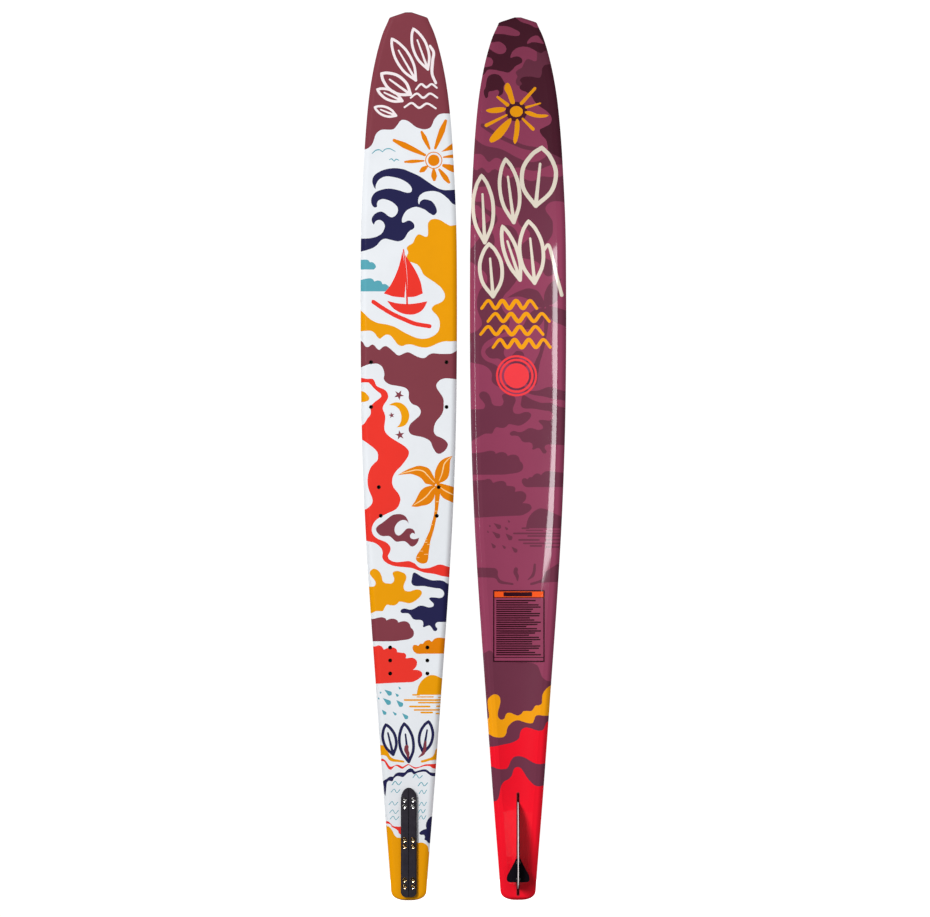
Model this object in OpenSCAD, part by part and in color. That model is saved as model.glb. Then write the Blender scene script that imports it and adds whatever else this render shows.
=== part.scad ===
// A pair of slalom water skis standing upright side by side: ski A shows its top deck and ski B
// shows its base. Both skis are the same design. Each has a moulded foam core between two skins,
// threaded inserts for the bindings, and a two-part fin block that clamps a fin with a wing.
// The origin is on ski A's deck, at the centre of its front binding inserts. -Y points at the viewer.

/* [Ski outline] */
// Length from tail to tip, measured straight
ski_len = 1702; // [1660:1:1730]
// Width at the widest place
ski_w = 185; // [170:1:200]
// Width of the tail, just ahead of its rounded corners
tail_w = 70; // [60:1:80]
// Width of the tip, at its corners
tip_w = 73; // [60:1:90]
// Distance between the two skis' centre lines
pair_spacing = 210; // [205:1:300]

/* [Ski side profile] */
// Height of the deck above the flat running base
deck_h = 24; // [22:0.5:28]
// Height of the base at the tip
tip_rocker = 76; // [60:1:90]
// Height of the base at the tail
tail_rocker = 11; // [8:0.5:12]
// Thickness at the tip
tip_t = 9; // [8:0.5:12]
// Thickness of the printed skins
skin_t = 1.2; // [0.8:0.1:1.3]
// Depth of the tunnel in the base, as a share of the thickness
tunnel_share = 0.25; // [0.1:0.01:0.3]
// Width of the flat rim and bevel on each side of the tunnel
base_rim_w = 17; // [12:0.5:20]
// Width of the bevel along the base's edge
base_bevel_w = 6.5; // [4:0.5:10]
// Width of the rounding along the deck's edge
deck_bevel_w = 11; // [6:0.5:14]

/* [Binding inserts] */
// Distance of the front inserts from the centre line
front_half_w = 72.5; // [70:0.5:74]
// Distances of the front rows from the tail
front_rows = [948, 1034]; // [940:1:1045]
// Distances of the rear plate's rows from the tail
rear_rows = [739, 794]; // [730:1:800]
// Distances of the rear plate's inserts from the centre line, one for each row
rear_half_w = [53.75, 57.5]; // [50:0.25:60]
// Distance of the toe inserts from the centre line
toe_half_w = 35.75; // [34:0.25:38]
// Distances of the toe rows from the tail
toe_rows = [436, 461, 486]; // [430:1:490]
// Radius of an insert's threaded hole
insert_bore_r = 2.55; // [2:0.05:3]
// Outer radius of an insert
insert_r = 5; // [4.5:0.1:6]
// Length of an insert
insert_len = 14; // [12:0.5:15]

/* [Fin block] */
// Width of the two halves together
block_w = 30.6; // [29:0.2:34]
// Height of the block above the deck
block_h = 10; // [9.5:0.5:12]
// Distance of the block's rear end from the tail
block_s0 = 7; // [6:0.5:8]
// Distance of the block's front end from the tail
block_s1 = 217; // [214:0.5:220]
// Distances of the three screw stations from the tail
stations = [34, 111, 188]; // [30:1:192]
// Distance between the two screws of a station
screw_pitch = 12.6; // [12:0.1:13]
// Distance of the screws from the centre line
screw_u = 8.15; // [8:0.05:8.4]
// Radius of the screws' recesses
recess_r = 4.7; // [4.5:0.1:5]
// Depth of the screws' recesses
recess_depth = 5; // [4:0.1:5.5]
// Distances of the fin's set screws from the tail
set_screw_s = [72, 150]; // [60:1:160]

/* [Fin] */
// Thickness of the fin
fin_t = 1.6; // [1.4:0.1:2]
// Distance of the fin's front edge from the tail
fin_s1 = 188; // [184:1:190]
// Distance of the fin's rear edge from the tail
fin_s0 = 22; // [20:1:26]
// Depth of the fin below the flat running base
fin_depth = 56; // [50:1:62]
// Gap on each side of the fin in its block
fin_gap = 0.05; // [0.03:0.01:0.08]

/* [Wing] */
// Width across both halves of the wing
wing_w = 44.6; // [40:0.2:50]
// Distance of the wing's point from the tail
wing_s1 = 82.6; // [80:0.2:84]
// Distance of the wing's rear edge from the tail
wing_s0 = 36.3; // [34:0.1:38]
// Depth of the wing below the flat running base
wing_depth = 20; // [16:0.5:26]
// Thickness of the wing
wing_t = 1.6; // [1.4:0.1:2]
// Distance of the front wing screw, the pivot, from the tail
pivot_s = 74; // [72:0.5:75]
// Distance of the rear wing screw from the tail
rear_screw_s = 43; // [42:0.5:46]
// Largest pitch of the wing each way, in degrees
wing_pitch = 4; // [1:0.5:4]

/* [Hidden] */
$fn = 48;
over = 1;                    // how far a cut runs past the surface that it opens
across = 20;                 // a length across the ski, longer than any bore through the fin

// Ski surface. A point of a ski is [u, h, s]: across, above the running base, and from the tail.
half_w = ski_w / 2;
end_bevel_rate = 1.8;        // the bevels are this much narrower across the two ends
deck_drop_share = 0.29;      // how far the deck's edge drops, as a share of the thickness
base_rise_share = 0.27;      // how far the base's edge rises, as a share of the thickness
tip_rocker_s = 1000;         // where the base starts to rise to the tip
tail_rocker_s = 350;         // where the base starts to rise to the tail
deck_rocker_s = 1080;        // where the deck starts to rise to the tip
tail_round = 20;             // length of the tail's rounding
tail_power = 2.6;            // squareness of the tail's rounding
tip_edge = 10;               // how far the tip's point stands ahead of its corners
tip_corner = 4;              // rounding of the tip's corners
tip_flat = 6;                // half the width of the flat at the tip's point
end_flat = 2;                // half the width of the flat at the tail
tail_slope = 0.07;           // how fast the outline widens at the tail
tip_slope = -0.35;           // and at the tip's corners
tunnel_fade = 60;            // length over which the tunnel fades out at both ends
deck_bevel_share = 0.45;     // the deck's edge is at most this share of the half width
tunnel_w_share = 0.35;       // and half the tunnel's width at least this share

// The outline's half width where it is neither tip nor tail: [from the tail, half width]
outline = [
    [0, tail_w / 2 - 2], [40, tail_w / 2 + 0.5], [200, 48], [400, 62.5], [600, 76.5],
    [750, 85], [900, half_w - 2.2], [1050, half_w - 0.1], [1200, half_w], [1300, half_w - 1.2],
    [1400, half_w - 5.5], [1480, 82], [1550, 74.8], [1610, 64], [1660, 50.2],
    [ski_len - tip_edge, tip_w / 2]
];

// Where the surface's rings lie: closer together near both ends
tail_stations = [0, 0.6, 2, 4.5, 8, 12, 16, 20, 30];
mid_stations = [for (s = [60 : 40 : 340]) s];
long_stations = [for (s = [400 : 75 : 1300]) s];
tip_stations = [for (s = [1345 : 35 : 1660]) s];
tip_end = [26, 18, 14, 11.5, 10, 9, 7.5, 5.5, 3.5, 1.7, 0];
rings = concat(tail_stations, mid_stations, long_stations, tip_stations,
    [for (e = tip_end) ski_len - e]);

function slope(i) = i == 0 ? tail_slope : i == len(outline) - 1 ? tip_slope :
    (outline[i + 1][1] - outline[i - 1][1]) / (outline[i + 1][0] - outline[i - 1][0]);
function spline(i, s) =
    let (a = outline[i], b = outline[i + 1], d = b[0] - a[0], t = (s - a[0]) / d,
        t2 = t * t, t3 = t2 * t)
    (2 * t3 - 3 * t2 + 1) * a[1] + (t3 - 2 * t2 + t) * d * slope(i)
        + (3 * t2 - 2 * t3) * b[1] + (t3 - t2) * d * slope(i + 1);
function side(s, i = 0) = i >= len(outline) - 2 || s < outline[i + 1][0] ? spline(i, s) : side(s, i + 1);
function tail_cap(s) = s >= tail_round ? 1 :
    pow(1 - pow((tail_round - s) / tail_round, tail_power), 1 / tail_power);
function tip_cap(s) = tip_flat + (ski_len - s) * (tip_w / 2 - tip_flat) / tip_edge;
// The lesser of two widths, with the corner between them rounded
function soft_min(a, b, r) = let (k = max(r - abs(a - b), 0) / r) min(a, b) - k * k * r / 4;
function width(s) = max(end_flat, soft_min(side(min(s, ski_len - tip_edge)) * tail_cap(s)
    + max(0, s - ski_len + tip_edge) * tip_slope, tip_cap(s), tip_corner));

function base_rocker(s) =
    s > tip_rocker_s ? tip_rocker * pow((s - tip_rocker_s) / (ski_len - tip_rocker_s), 2) :
    s < tail_rocker_s ? tail_rocker * pow((tail_rocker_s - s) / tail_rocker_s, 2) : 0;
function deck(s) = s < deck_rocker_s ? deck_h :
    deck_h + (tip_rocker + tip_t - deck_h) * pow((s - deck_rocker_s) / (ski_len - deck_rocker_s), 2);
function thickness(s) = deck(s) - base_rocker(s);
function end_gap(s) = min(s, ski_len - s);
function edge_gap(u, w, s) = min(w - abs(u), end_gap(s) * end_bevel_rate);
function fade(d, w) = pow(max(0, 1 - d / w), 2);
function bevel_w(w) = min(deck_bevel_w, deck_bevel_share * w);
function rim(w) = max(w - base_rim_w, tunnel_w_share * w);
function tunnel(u, w, s) = tunnel_share * thickness(s) * min(1, end_gap(s) / tunnel_fade)
    * max(0, 1 - pow(u / rim(w), 2));
function deck_at(u, w, s) = deck(s)
    - deck_drop_share * thickness(s) * fade(edge_gap(u, w, s), bevel_w(w));
function base_at(u, w, s) = base_rocker(s) + tunnel(u, w, s)
    + base_rise_share * thickness(s) * max(0, 1 - edge_gap(u, w, s) / base_bevel_w);
function side_at(w, s) = (deck_at(w, w, s) + base_at(w, w, s)) / 2;

// One ring of the surface, set in by inset: a parting point, the deck from right to left, the other
// parting point, and the base from left to right
deck_steps = [0, 0.3, 0.65, 1];
tunnel_steps = [1, 0.66, 0.33, 0];
function deck_us(w) = let (half = [for (k = deck_steps) w - k * bevel_w(w)])
    concat(half, [0], [for (i = [len(half) - 1 : -1 : 0]) -half[i]]);
function base_us(w) = let (half = concat([w, max(w - base_bevel_w, (w + rim(w)) / 2)],
        [for (k = tunnel_steps) k * rim(w)]))
    concat([for (i = [0 : len(half) - 1]) -half[i]], [for (i = [len(half) - 2 : -1 : 0]) half[i]]);
function ring(s, inset) =
    let (w = width(s), wi = max(w - inset, end_flat / 2),
        si = inset + s * (ski_len - 2 * inset) / ski_len, k = wi / w)
    concat(
        [[wi, -side_at(w, s), si]],
        [for (u = deck_us(w)) [u * k, inset - deck_at(u, w, s), si]],
        [[-wi, -side_at(w, s), si]],
        [for (u = base_us(w)) [u * k, -inset - base_at(u, w, s), si]]);

deck_n = 9;
base_n = 11;
ring_n = deck_n + base_n + 2;
deck_half = [for (i = [0 : deck_n + 1]) i];
base_half = concat([for (i = [deck_n + 1 : ring_n - 1]) i], [0]);
last = len(rings) - 1;

// Triangles between neighbouring rings, always split along the same diagonal
function quad(a, b, c, d, flip) = flip ? [[a, c, b], [a, d, c]] : [[a, b, c], [a, c, d]];
function strips(half, first, flip) = [for (i = [0 : last - 1], q = [0 : len(half) - 2])
    let (a = first + i * ring_n + half[q], b = first + i * ring_n + half[q + 1])
    each quad(a, b, b + ring_n, a + ring_n, flip)];
// Both end faces of one half, as fans from the right-hand parting point
function fans(half, first, flip) = [for (e = [0, last], q = [0 : len(half) - 2])
    let (o = first + e * ring_n, a = o + half[q], b = o + half[q + 1], turn = (e == 0) != flip)
    if (half[q] != 0 && half[q + 1] != 0) turn ? [o, b, a] : [o, a, b]];
// The parting face, from the outer rings at 0 to the inner rings at first
function parting(first, flip) = concat(
    [for (i = [0 : last - 1], j = [0, deck_n + 1])
        let (a = i * ring_n + j) each quad(a, a + ring_n, a + ring_n + first, a + first, (j == 0) != flip)],
    [for (e = [0, last]) let (a = e * ring_n, b = a + deck_n + 1)
        each quad(a, b, b + first, a + first, (e == 0) == flip)]);

outer_points = [for (s = rings) each ring(s, 0)];
inner_points = [for (s = rings) each ring(s, skin_t)];
inner_first = len(outer_points);

// Fin slot, moulded through the ski
slot_s0 = 9;                 // rear end of the slot
slot_s1 = 206;               // front end of the slot
slot_half = 1.7;             // half the width of the slot
liner_half = 3.4;            // half the width over the liner's walls
liner_wall = liner_half - slot_half;
tail_part = 230;             // length of the ski's rear part that holds the slot
liner_low = -1;              // a height below every part of the base at the tail

// Fastener sizes
insert_floor = 2;            // thickness of an insert's closed end
insert_neck_r = 3.5;         // an insert's neck, which comes up level with the deck
deck_hole_r = 3.8;           // the hole in the deck skin round it
block_insert_r = 4.2;        // outer radius of the block's inserts
block_insert_len = 8;
screw_r = 2.4;               // block screw shank
screw_hole_r = 2.6;          // its hole in the block
screw_fit = 0.05;            // and the gap round it in its insert
screw_tip_gap = 0.3;         // gap below its tip
head_r = 3.9;                // block screw head
head_t = 3;
socket_r = 2.3;              // across the corners of a hexagon socket
socket_depth = 1.8;
screw_reach = 7;             // how far a block screw goes below the deck
set_r = 2;                   // set screws that clamp the fin
set_hole_r = 2.05;
set_h = 4;                   // their height above the deck
set_recess = 0.6;            // how far they stand below the block's side
hex_r = 1.2;                 // across the corners of the small hexagon sockets
hex_depth = 0.9;
pin_r = 1.5;                 // wing screws
pin_hole_r = 1.55;
pin_head_r = 2.7;
pin_head_t = 1.6;
pin_proud = 0.4;             // how far they stand out of their nuts
pin_slack = 0.1;             // extra room for the rear one, which moves when the wing pitches
nut_r = 3;                   // across the corners of a wing nut's hexagon
nut_t = 1.6;
flange_t = 1.4;              // the wing's flanges along the fin
flange_h = 9;
flange_drop = 5.2;           // from the wing's plate down to its screws
flange_inset = 1;            // from the wing's rear edge to its flanges
flange_front = 3;            // from the wing's point to its flanges
flange_bevel = 2;            // length of the bevel at their front end

// Fin block outline
nose_len = 24;
heel_len = 11;
heel_flat = 6;               // half the width of the flat at the rear end
shoulder = [3.4, 2.4];       // width and height of the rounding along the block's top edges
seam = fin_t / 2 + fin_gap;  // each half of the block stands this far from the centre
lip = [6.5, 7.5];            // heights above the deck of the lips that meet above the fin
block_half = block_w / 2;
arc_steps = 12;
shoulder_steps = 5;

// Fin outline
fin_top = deck_h + block_h - 4.5;
lead_bend = [174, -46];      // the point that the leading edge bends towards
lead_end = 98;               // where the leading edge meets the lower edge
tail_bend = 14;              // length of the curve at the lower rear corner
trail_low_s = 31;            // the rear edge, at the lower edge's level
trail_lean = 2;              // how far it leans back over that curve
trail_top = 8;               // height at which it becomes upright
lead_top = 3;                // height at which the leading edge starts

// Wing outline
wing_corner = [7.5, 14.5];   // width and length of the rounded rear corners
wing_bulge = 3;              // how far out of the wing their control points lie
wing_corner_in = 2;          // how far in the corners end
wing_nose = [6, 7];          // half width and length of the rounded point
nose_bend = 4;               // how far out its control point lies
wing_gap = fin_t / 2 + fin_gap; // each half of the wing stands this far from the centre

module skin(half, is_deck) polyhedron(
    points = concat(outer_points, inner_points),
    faces = concat(
        strips(half, 0, false), strips(half, inner_first, true),
        fans(half, 0, false), fans(half, inner_first, true),
        parting(inner_first, is_deck)));

// Where the screws and inserts go
function both(us, s) = [for (side = [-1, 1]) [side * us, s]];
front_inserts = [for (s = front_rows) each both(front_half_w, s)];
rear_inserts = [for (i = [0 : 1]) each both(rear_half_w[i], rear_rows[i])];
toe_inserts = [for (s = toe_rows) each both(toe_half_w, s)];
block_screws = [for (s = stations, side = [-1, 1]) each both(screw_u, s + side * screw_pitch / 2)];

// A cylinder that stands on height h0 and reaches up to h1
module post(r, h0, h1) translate([0, -h0, 0]) rotate([90, 0, 0]) cylinder(r = r, h = h1 - h0);
module each_at(places) for (p = places) translate([p[0], 0, p[1]]) children();
// A flat shape drawn across and along the ski, standing on height h0 and reaching up to h1
module plan(h0, h1) translate([0, -h0, 0]) rotate([90, 0, 0]) linear_extrude(h1 - h0) children();
// A flat shape drawn in height and along the ski, t thick across the centre line
module side_view(t) rotate([90, 0, 90]) linear_extrude(t, center = true) children();

function profile(points) = [for (p = points) [-p[1], p[0]]];

module obround(half, s0, s1) {
    for (s = [s0 + half, s1 - half]) translate([0, s]) circle(r = half);
    translate([-half, s0 + half]) square([2 * half, s1 - s0 - 2 * half]);
}

module insert_pockets() {
    each_at(concat(front_inserts, rear_inserts, toe_inserts))
        post(insert_r, deck_h - skin_t - insert_len, deck_h - skin_t);
    each_at(block_screws) post(block_insert_r, deck_h - skin_t - block_insert_len, deck_h - skin_t);
}

module deck_holes() {
    each_at(concat(front_inserts, rear_inserts, toe_inserts))
        post(deck_hole_r, deck_h - skin_t - over, deck_h + over);
    each_at(block_screws) post(screw_hole_r, deck_h - skin_t - over, deck_h + over);
}

module liner_outline() obround(liner_half, slot_s0 - liner_wall, slot_s1 + liner_wall);
module liner_hole() plan(liner_low, deck_h + over) liner_outline();

// Everything from the base's centre line up to the deck, near the tail
module tail_depth() side_view(across) polygon(profile(concat(
    [for (s = [0 : 5 : tail_part]) [s, base_at(0, width(s), s)]], [[tail_part, deck_h], [0, deck_h]])));

module top_sheet() color("whitesmoke") difference() {
    skin(deck_half, true);
    deck_holes();
    liner_hole();
}

module base_shell() color("maroon") difference() {
    skin(base_half, false);
    liner_hole();
}

module foam_core() color("tan") difference() {
    polyhedron(
        points = inner_points,
        faces = concat(strips(deck_half, 0, false), strips(base_half, 0, false),
            fans(deck_half, 0, false), fans(base_half, 0, false)));
    insert_pockets();
    liner_hole();
}

module slot_liner() color("black") intersection() {
    plan(liner_low, deck_h) difference() {
        liner_outline();
        obround(slot_half, slot_s0, slot_s1);
    }
    tail_depth();
}

module binding_inserts(places) color("goldenrod") each_at(places) difference() {
    union() {
        post(insert_r, deck_h - skin_t - insert_len, deck_h - skin_t);
        post(insert_neck_r, deck_h - skin_t - over, deck_h);
    }
    post(insert_bore_r, deck_h - skin_t - insert_len + insert_floor, deck_h + over);
}

module block_inserts() color("goldenrod") each_at(block_screws) difference() {
    post(block_insert_r, deck_h - skin_t - block_insert_len, deck_h - skin_t);
    post(screw_r + screw_fit, deck_h - screw_reach - screw_tip_gap, deck_h);
}

// A quarter of an ellipse from [a, 0] round to [0, b]
function quarter(a, b, n) = [for (i = [0 : n]) [a * cos(90 * i / n), b * sin(90 * i / n)]];
block_outline = concat(
    [[0, block_s0]],
    [for (i = [arc_steps : -1 : 0]) let (p = quarter(block_half - heel_flat, heel_len, arc_steps)[i])
        [heel_flat + p[0], block_s0 + heel_len - p[1]]],
    [for (p = quarter(block_half, nose_len, arc_steps)) [p[0], block_s1 - nose_len + p[1]]]);
// Its section: the deck at the bottom, a rounded shoulder, and the lip
block_section = concat(
    [[seam, -deck_h], [block_half, -deck_h]],
    [for (p = quarter(shoulder[0], shoulder[1], shoulder_steps))
        [block_half - shoulder[0] + p[0], -deck_h - block_h + shoulder[1] - p[1]]],
    [[seam, -deck_h - block_h], [seam, -deck_h - lip[1]], [0, -deck_h - lip[1]],
        [0, -deck_h - lip[0]], [seam, -deck_h - lip[0]]]);

// The block's right half: the left one is its mirror image
module block_half_body() difference() {
    intersection() {
        plan(deck_h, deck_h + block_h) polygon(block_outline);
        translate([0, 0, block_s0 - over]) linear_extrude(block_s1 - block_s0 + 2 * over)
            polygon(block_section);
    }
    for (p = block_screws) if (p[0] > 0) translate([p[0], 0, p[1]]) {
        post(screw_hole_r, deck_h - over, deck_h + block_h);
        post(recess_r, deck_h + block_h - recess_depth, deck_h + block_h + over);
    }
    for (s = set_screw_s) translate([0, -deck_h - set_h, s]) rotate([0, 90, 0])
        cylinder(r = set_hole_r, h = block_half + over);
}

module block_left() color("dimgray") mirror([1, 0, 0]) block_half_body();
module block_right() color("dimgray") block_half_body();

module block_screw_set() color("silver") each_at(block_screws) {
    seat = deck_h + block_h - recess_depth;
    difference() {
        union() {
            post(screw_r, deck_h - screw_reach, seat + over);
            post(head_r, seat, seat + head_t);
        }
        post(socket_r, seat + head_t - socket_depth, seat + head_t + over, $fn = 6);
    }
}

module set_screws() color("darkgray") for (s = set_screw_s, side = [0, 180])
    rotate([0, 0, side]) translate([wing_gap, side == 0 ? -deck_h - set_h : deck_h + set_h, s])
        rotate([0, 90, 0]) difference() {
            cylinder(r = set_r, h = block_half - set_recess - wing_gap);
            translate([0, 0, block_half - set_recess - wing_gap - socket_depth])
                cylinder(r = hex_r, h = socket_depth + over, $fn = 6);
        }

function bezier(a, b, c, n) = [for (i = [0 : n]) let (t = i / n)
    (1 - t) * (1 - t) * a + 2 * t * (1 - t) * b + t * t * c];
fin_outline = concat(
    [[fin_s0, fin_top], [fin_s1, fin_top]],
    bezier([fin_s1, lead_top], lead_bend, [lead_end, -fin_depth], 16),
    bezier([trail_low_s + tail_bend, -fin_depth], [trail_low_s, -fin_depth],
        [trail_low_s - trail_lean, -fin_depth + tail_bend], 6),
    [[fin_s0, trail_top]]);
wing_h = -wing_depth - wing_t / 2;
pin_h = -wing_depth - flange_drop;
slot_reach = (pivot_s - rear_screw_s) * sin(wing_pitch) + pin_slack;

module fin() color("lightgray") difference() {
    side_view(fin_t) polygon(profile(fin_outline));
    translate([0, -pin_h, pivot_s]) rotate([0, 90, 0]) cylinder(r = pin_hole_r, h = across, center = true);
    for (side = [-1, 1]) translate([0, -pin_h + side * slot_reach, rear_screw_s]) rotate([0, 90, 0])
        cylinder(r = pin_hole_r + pin_slack, h = across, center = true);
    translate([0, -pin_h, rear_screw_s])
        cube([across, 2 * slot_reach, 2 * (pin_hole_r + pin_slack)], center = true);
}

// The wing's right half: a flat triangle with rounded corners, and a flange along the fin
wing_half = wing_w / 2;
wing_outline = concat(
    [[wing_gap, wing_s0]],
    bezier([wing_half - wing_corner[0], wing_s0], [wing_half + wing_bulge, wing_s0],
        [wing_half - wing_corner_in, wing_s0 + wing_corner[1]], 8),
    bezier([wing_gap + wing_nose[0], wing_s1 - wing_nose[1]], [wing_gap + nose_bend, wing_s1],
        [wing_gap, wing_s1], 6));

module wing_half_body() difference() {
    union() {
        plan(wing_h - wing_t / 2, wing_h + wing_t / 2) polygon(wing_outline);
        plan(wing_h - flange_h, wing_h) polygon([
            [wing_gap, wing_s0 + flange_inset], [wing_gap + flange_t, wing_s0 + flange_inset],
            [wing_gap + flange_t, wing_s1 - flange_front - flange_bevel],
            [wing_gap, wing_s1 - flange_front]]);
    }
    wing_pins() rotate([0, 90, 0]) cylinder(r = pin_hole_r, h = across / 2);
}

module wing_pins() for (s = [rear_screw_s, pivot_s]) translate([0, -pin_h, s]) children();
module wing_left() color("#15151a") mirror([1, 0, 0]) wing_half_body();
module wing_right() color("#15151a") wing_half_body();

module wing_screws() color("silver") wing_pins() rotate([0, 90, 0]) {
    face = wing_gap + flange_t;
    tail = nut_t + pin_proud;
    translate([0, 0, -face - tail]) cylinder(r = pin_r, h = 2 * face + tail + (pin_head_t - hex_depth) / 2);
    difference() {
        translate([0, 0, face]) cylinder(r = pin_head_r, h = pin_head_t);
        translate([0, 0, face + pin_head_t - hex_depth]) cylinder(r = hex_r, h = over + hex_depth, $fn = 6);
    }
}

module wing_nuts() color("silver") wing_pins() rotate([0, -90, 0]) difference() {
    translate([0, 0, wing_gap + flange_t]) cylinder(r = nut_r, h = nut_t, $fn = 6);
    cylinder(r = pin_r, h = across);
}

PIECES = ["top_sheet", "base_shell", "foam_core", "slot_liner", "front_inserts", "rear_inserts",
    "toe_inserts", "block_inserts", "block_left", "block_right", "block_screws", "set_screws",
    "fin", "wing_left", "wing_right", "wing_screws", "wing_nuts"];

module piece(name) {
    if (name == "top_sheet") top_sheet();
    if (name == "base_shell") base_shell();
    if (name == "foam_core") foam_core();
    if (name == "slot_liner") slot_liner();
    if (name == "front_inserts") binding_inserts(front_inserts);
    if (name == "rear_inserts") binding_inserts(rear_inserts);
    if (name == "toe_inserts") binding_inserts(toe_inserts);
    if (name == "block_inserts") block_inserts();
    if (name == "block_left") block_left();
    if (name == "block_right") block_right();
    if (name == "block_screws") block_screw_set();
    if (name == "set_screws") set_screws();
    if (name == "fin") fin();
    if (name == "wing_left") wing_left();
    if (name == "wing_right") wing_right();
    if (name == "wing_screws") wing_screws();
    if (name == "wing_nuts") wing_nuts();
}

// Ski A stands with its front inserts' centre at the origin, and ski B beside it, turned round
origin_s = (front_rows[0] + front_rows[1]) / 2;
module ski_a() translate([0, deck_h, -origin_s]) children();
module ski_b() translate([pair_spacing, 0, -origin_s]) rotate([0, 0, 180]) children();

for (name = PIECES) {
    ski_a() piece(name);
    ski_b() piece(name);
}
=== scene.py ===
"""Looks for a pair of slalom water skis that stand upright: ski A shows its deck, ski B its base.

The two printed skins of each ski are built here, cut along the edges of every printed shape, so the
artwork is in the mesh, and so are the fin block's screws, with domed heads in cupped washers. All
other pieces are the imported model's own, with detailed materials.
A point of a ski is (u, h, s) in millimetres: across, above the running base, and from the tail.
"""
import math

import bmesh
import bpy
import numpy as np
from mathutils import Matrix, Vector
from mathutils.geometry import delaunay_2d_cdt


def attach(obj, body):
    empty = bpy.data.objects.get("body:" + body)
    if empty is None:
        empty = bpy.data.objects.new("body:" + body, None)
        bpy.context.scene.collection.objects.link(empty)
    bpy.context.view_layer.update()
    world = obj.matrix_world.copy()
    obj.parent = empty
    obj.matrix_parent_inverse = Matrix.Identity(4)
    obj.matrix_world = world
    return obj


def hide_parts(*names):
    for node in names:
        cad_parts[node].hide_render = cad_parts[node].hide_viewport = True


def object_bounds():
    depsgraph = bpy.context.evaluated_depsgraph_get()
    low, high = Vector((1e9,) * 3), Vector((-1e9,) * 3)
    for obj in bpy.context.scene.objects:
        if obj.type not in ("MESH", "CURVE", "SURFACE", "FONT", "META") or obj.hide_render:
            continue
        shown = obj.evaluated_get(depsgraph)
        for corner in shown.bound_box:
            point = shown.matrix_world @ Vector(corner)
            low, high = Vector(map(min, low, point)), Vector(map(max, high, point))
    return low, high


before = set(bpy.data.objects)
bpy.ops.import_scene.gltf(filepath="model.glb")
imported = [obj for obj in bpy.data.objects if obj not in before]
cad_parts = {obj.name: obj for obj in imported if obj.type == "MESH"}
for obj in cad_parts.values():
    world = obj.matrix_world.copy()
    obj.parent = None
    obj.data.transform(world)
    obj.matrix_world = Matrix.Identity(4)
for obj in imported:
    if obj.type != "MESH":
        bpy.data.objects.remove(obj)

CAD_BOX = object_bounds()
MM = 0.001

# ---------------------------------------------------------------- ski surface, as in the design

SKI_LEN = 1702.0
DECK_H = 24.0
ORIGIN_S = 991.0             # distance of the frame's origin from the tail
PAIR_SPACING = 210.0
SKIN_T = 1.2
TIP_ROCKER, TAIL_ROCKER, TIP_T = 76.0, 11.0, 9.0
TIP_ROCKER_S, TAIL_ROCKER_S, DECK_ROCKER_S = 1000.0, 350.0, 1080.0
TUNNEL_SHARE, BASE_RIM, BASE_BEVEL, DECK_BEVEL = 0.25, 17.0, 6.5, 11.0
DECK_DROP_SHARE, BASE_RISE_SHARE, END_BEVEL_RATE = 0.29, 0.27, 1.8
TAIL_ROUND, TAIL_POWER = 20.0, 2.6
TAIL_SLOPE, TIP_SLOPE = 0.07, -0.35
TUNNEL_FADE, TUNNEL_W_SHARE, DECK_BEVEL_SHARE, NARROWEST = 60.0, 0.35, 0.45, 2.0
TIP_EDGE, TIP_CORNER, TIP_FLAT, TIP_HALF = 10.0, 4.0, 6.0, 36.5
# Half widths at stations along the ski, and how steeply the side runs at the first and the last
STATIONS = np.array([0, 40, 200, 400, 600, 750, 900, 1050, 1200, 1300, 1400, 1480, 1550, 1610,
                     1660, 1692], float)
HALF_WIDTHS = np.array([33, 35.5, 48, 62.5, 76.5, 85, 90.3, 92.4, 92.5, 91.3, 87, 82, 74.8, 64,
                        50.2, TIP_HALF], float)
SLOPES = np.concatenate([
    [TAIL_SLOPE], (HALF_WIDTHS[2:] - HALF_WIDTHS[:-2]) / (STATIONS[2:] - STATIONS[:-2]), [TIP_SLOPE]])

INSERTS = ([(side * 72.5, s) for s in (948, 1034) for side in (-1, 1)]
           + [(side * u, s) for u, s in ((53.75, 739), (57.5, 794)) for side in (-1, 1)]
           + [(side * 35.75, s) for s in (436, 461, 486) for side in (-1, 1)])
INSERT_HOLE_R = 3.8
BLOCK_SCREWS = [(side * 8.15, s + way * 6.3) for s in (34, 111, 188) for way in (-1, 1)
                for side in (-1, 1)]
SCREW_HOLE_R = 2.6
SCREW_SHANK_R, SCREW_REACH, SCREW_SEAT, SCREW_TOP = 2.4, 7.0, 5.0, 8.0    # heights from the deck
SCREW_DOME_R, SCREW_SOCKET_R, WASHER_R = 3.3, 1.6, 4.66
SLOT_S0, SLOT_S1, SLOT_HALF = 7.3, 207.7, 3.4


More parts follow.
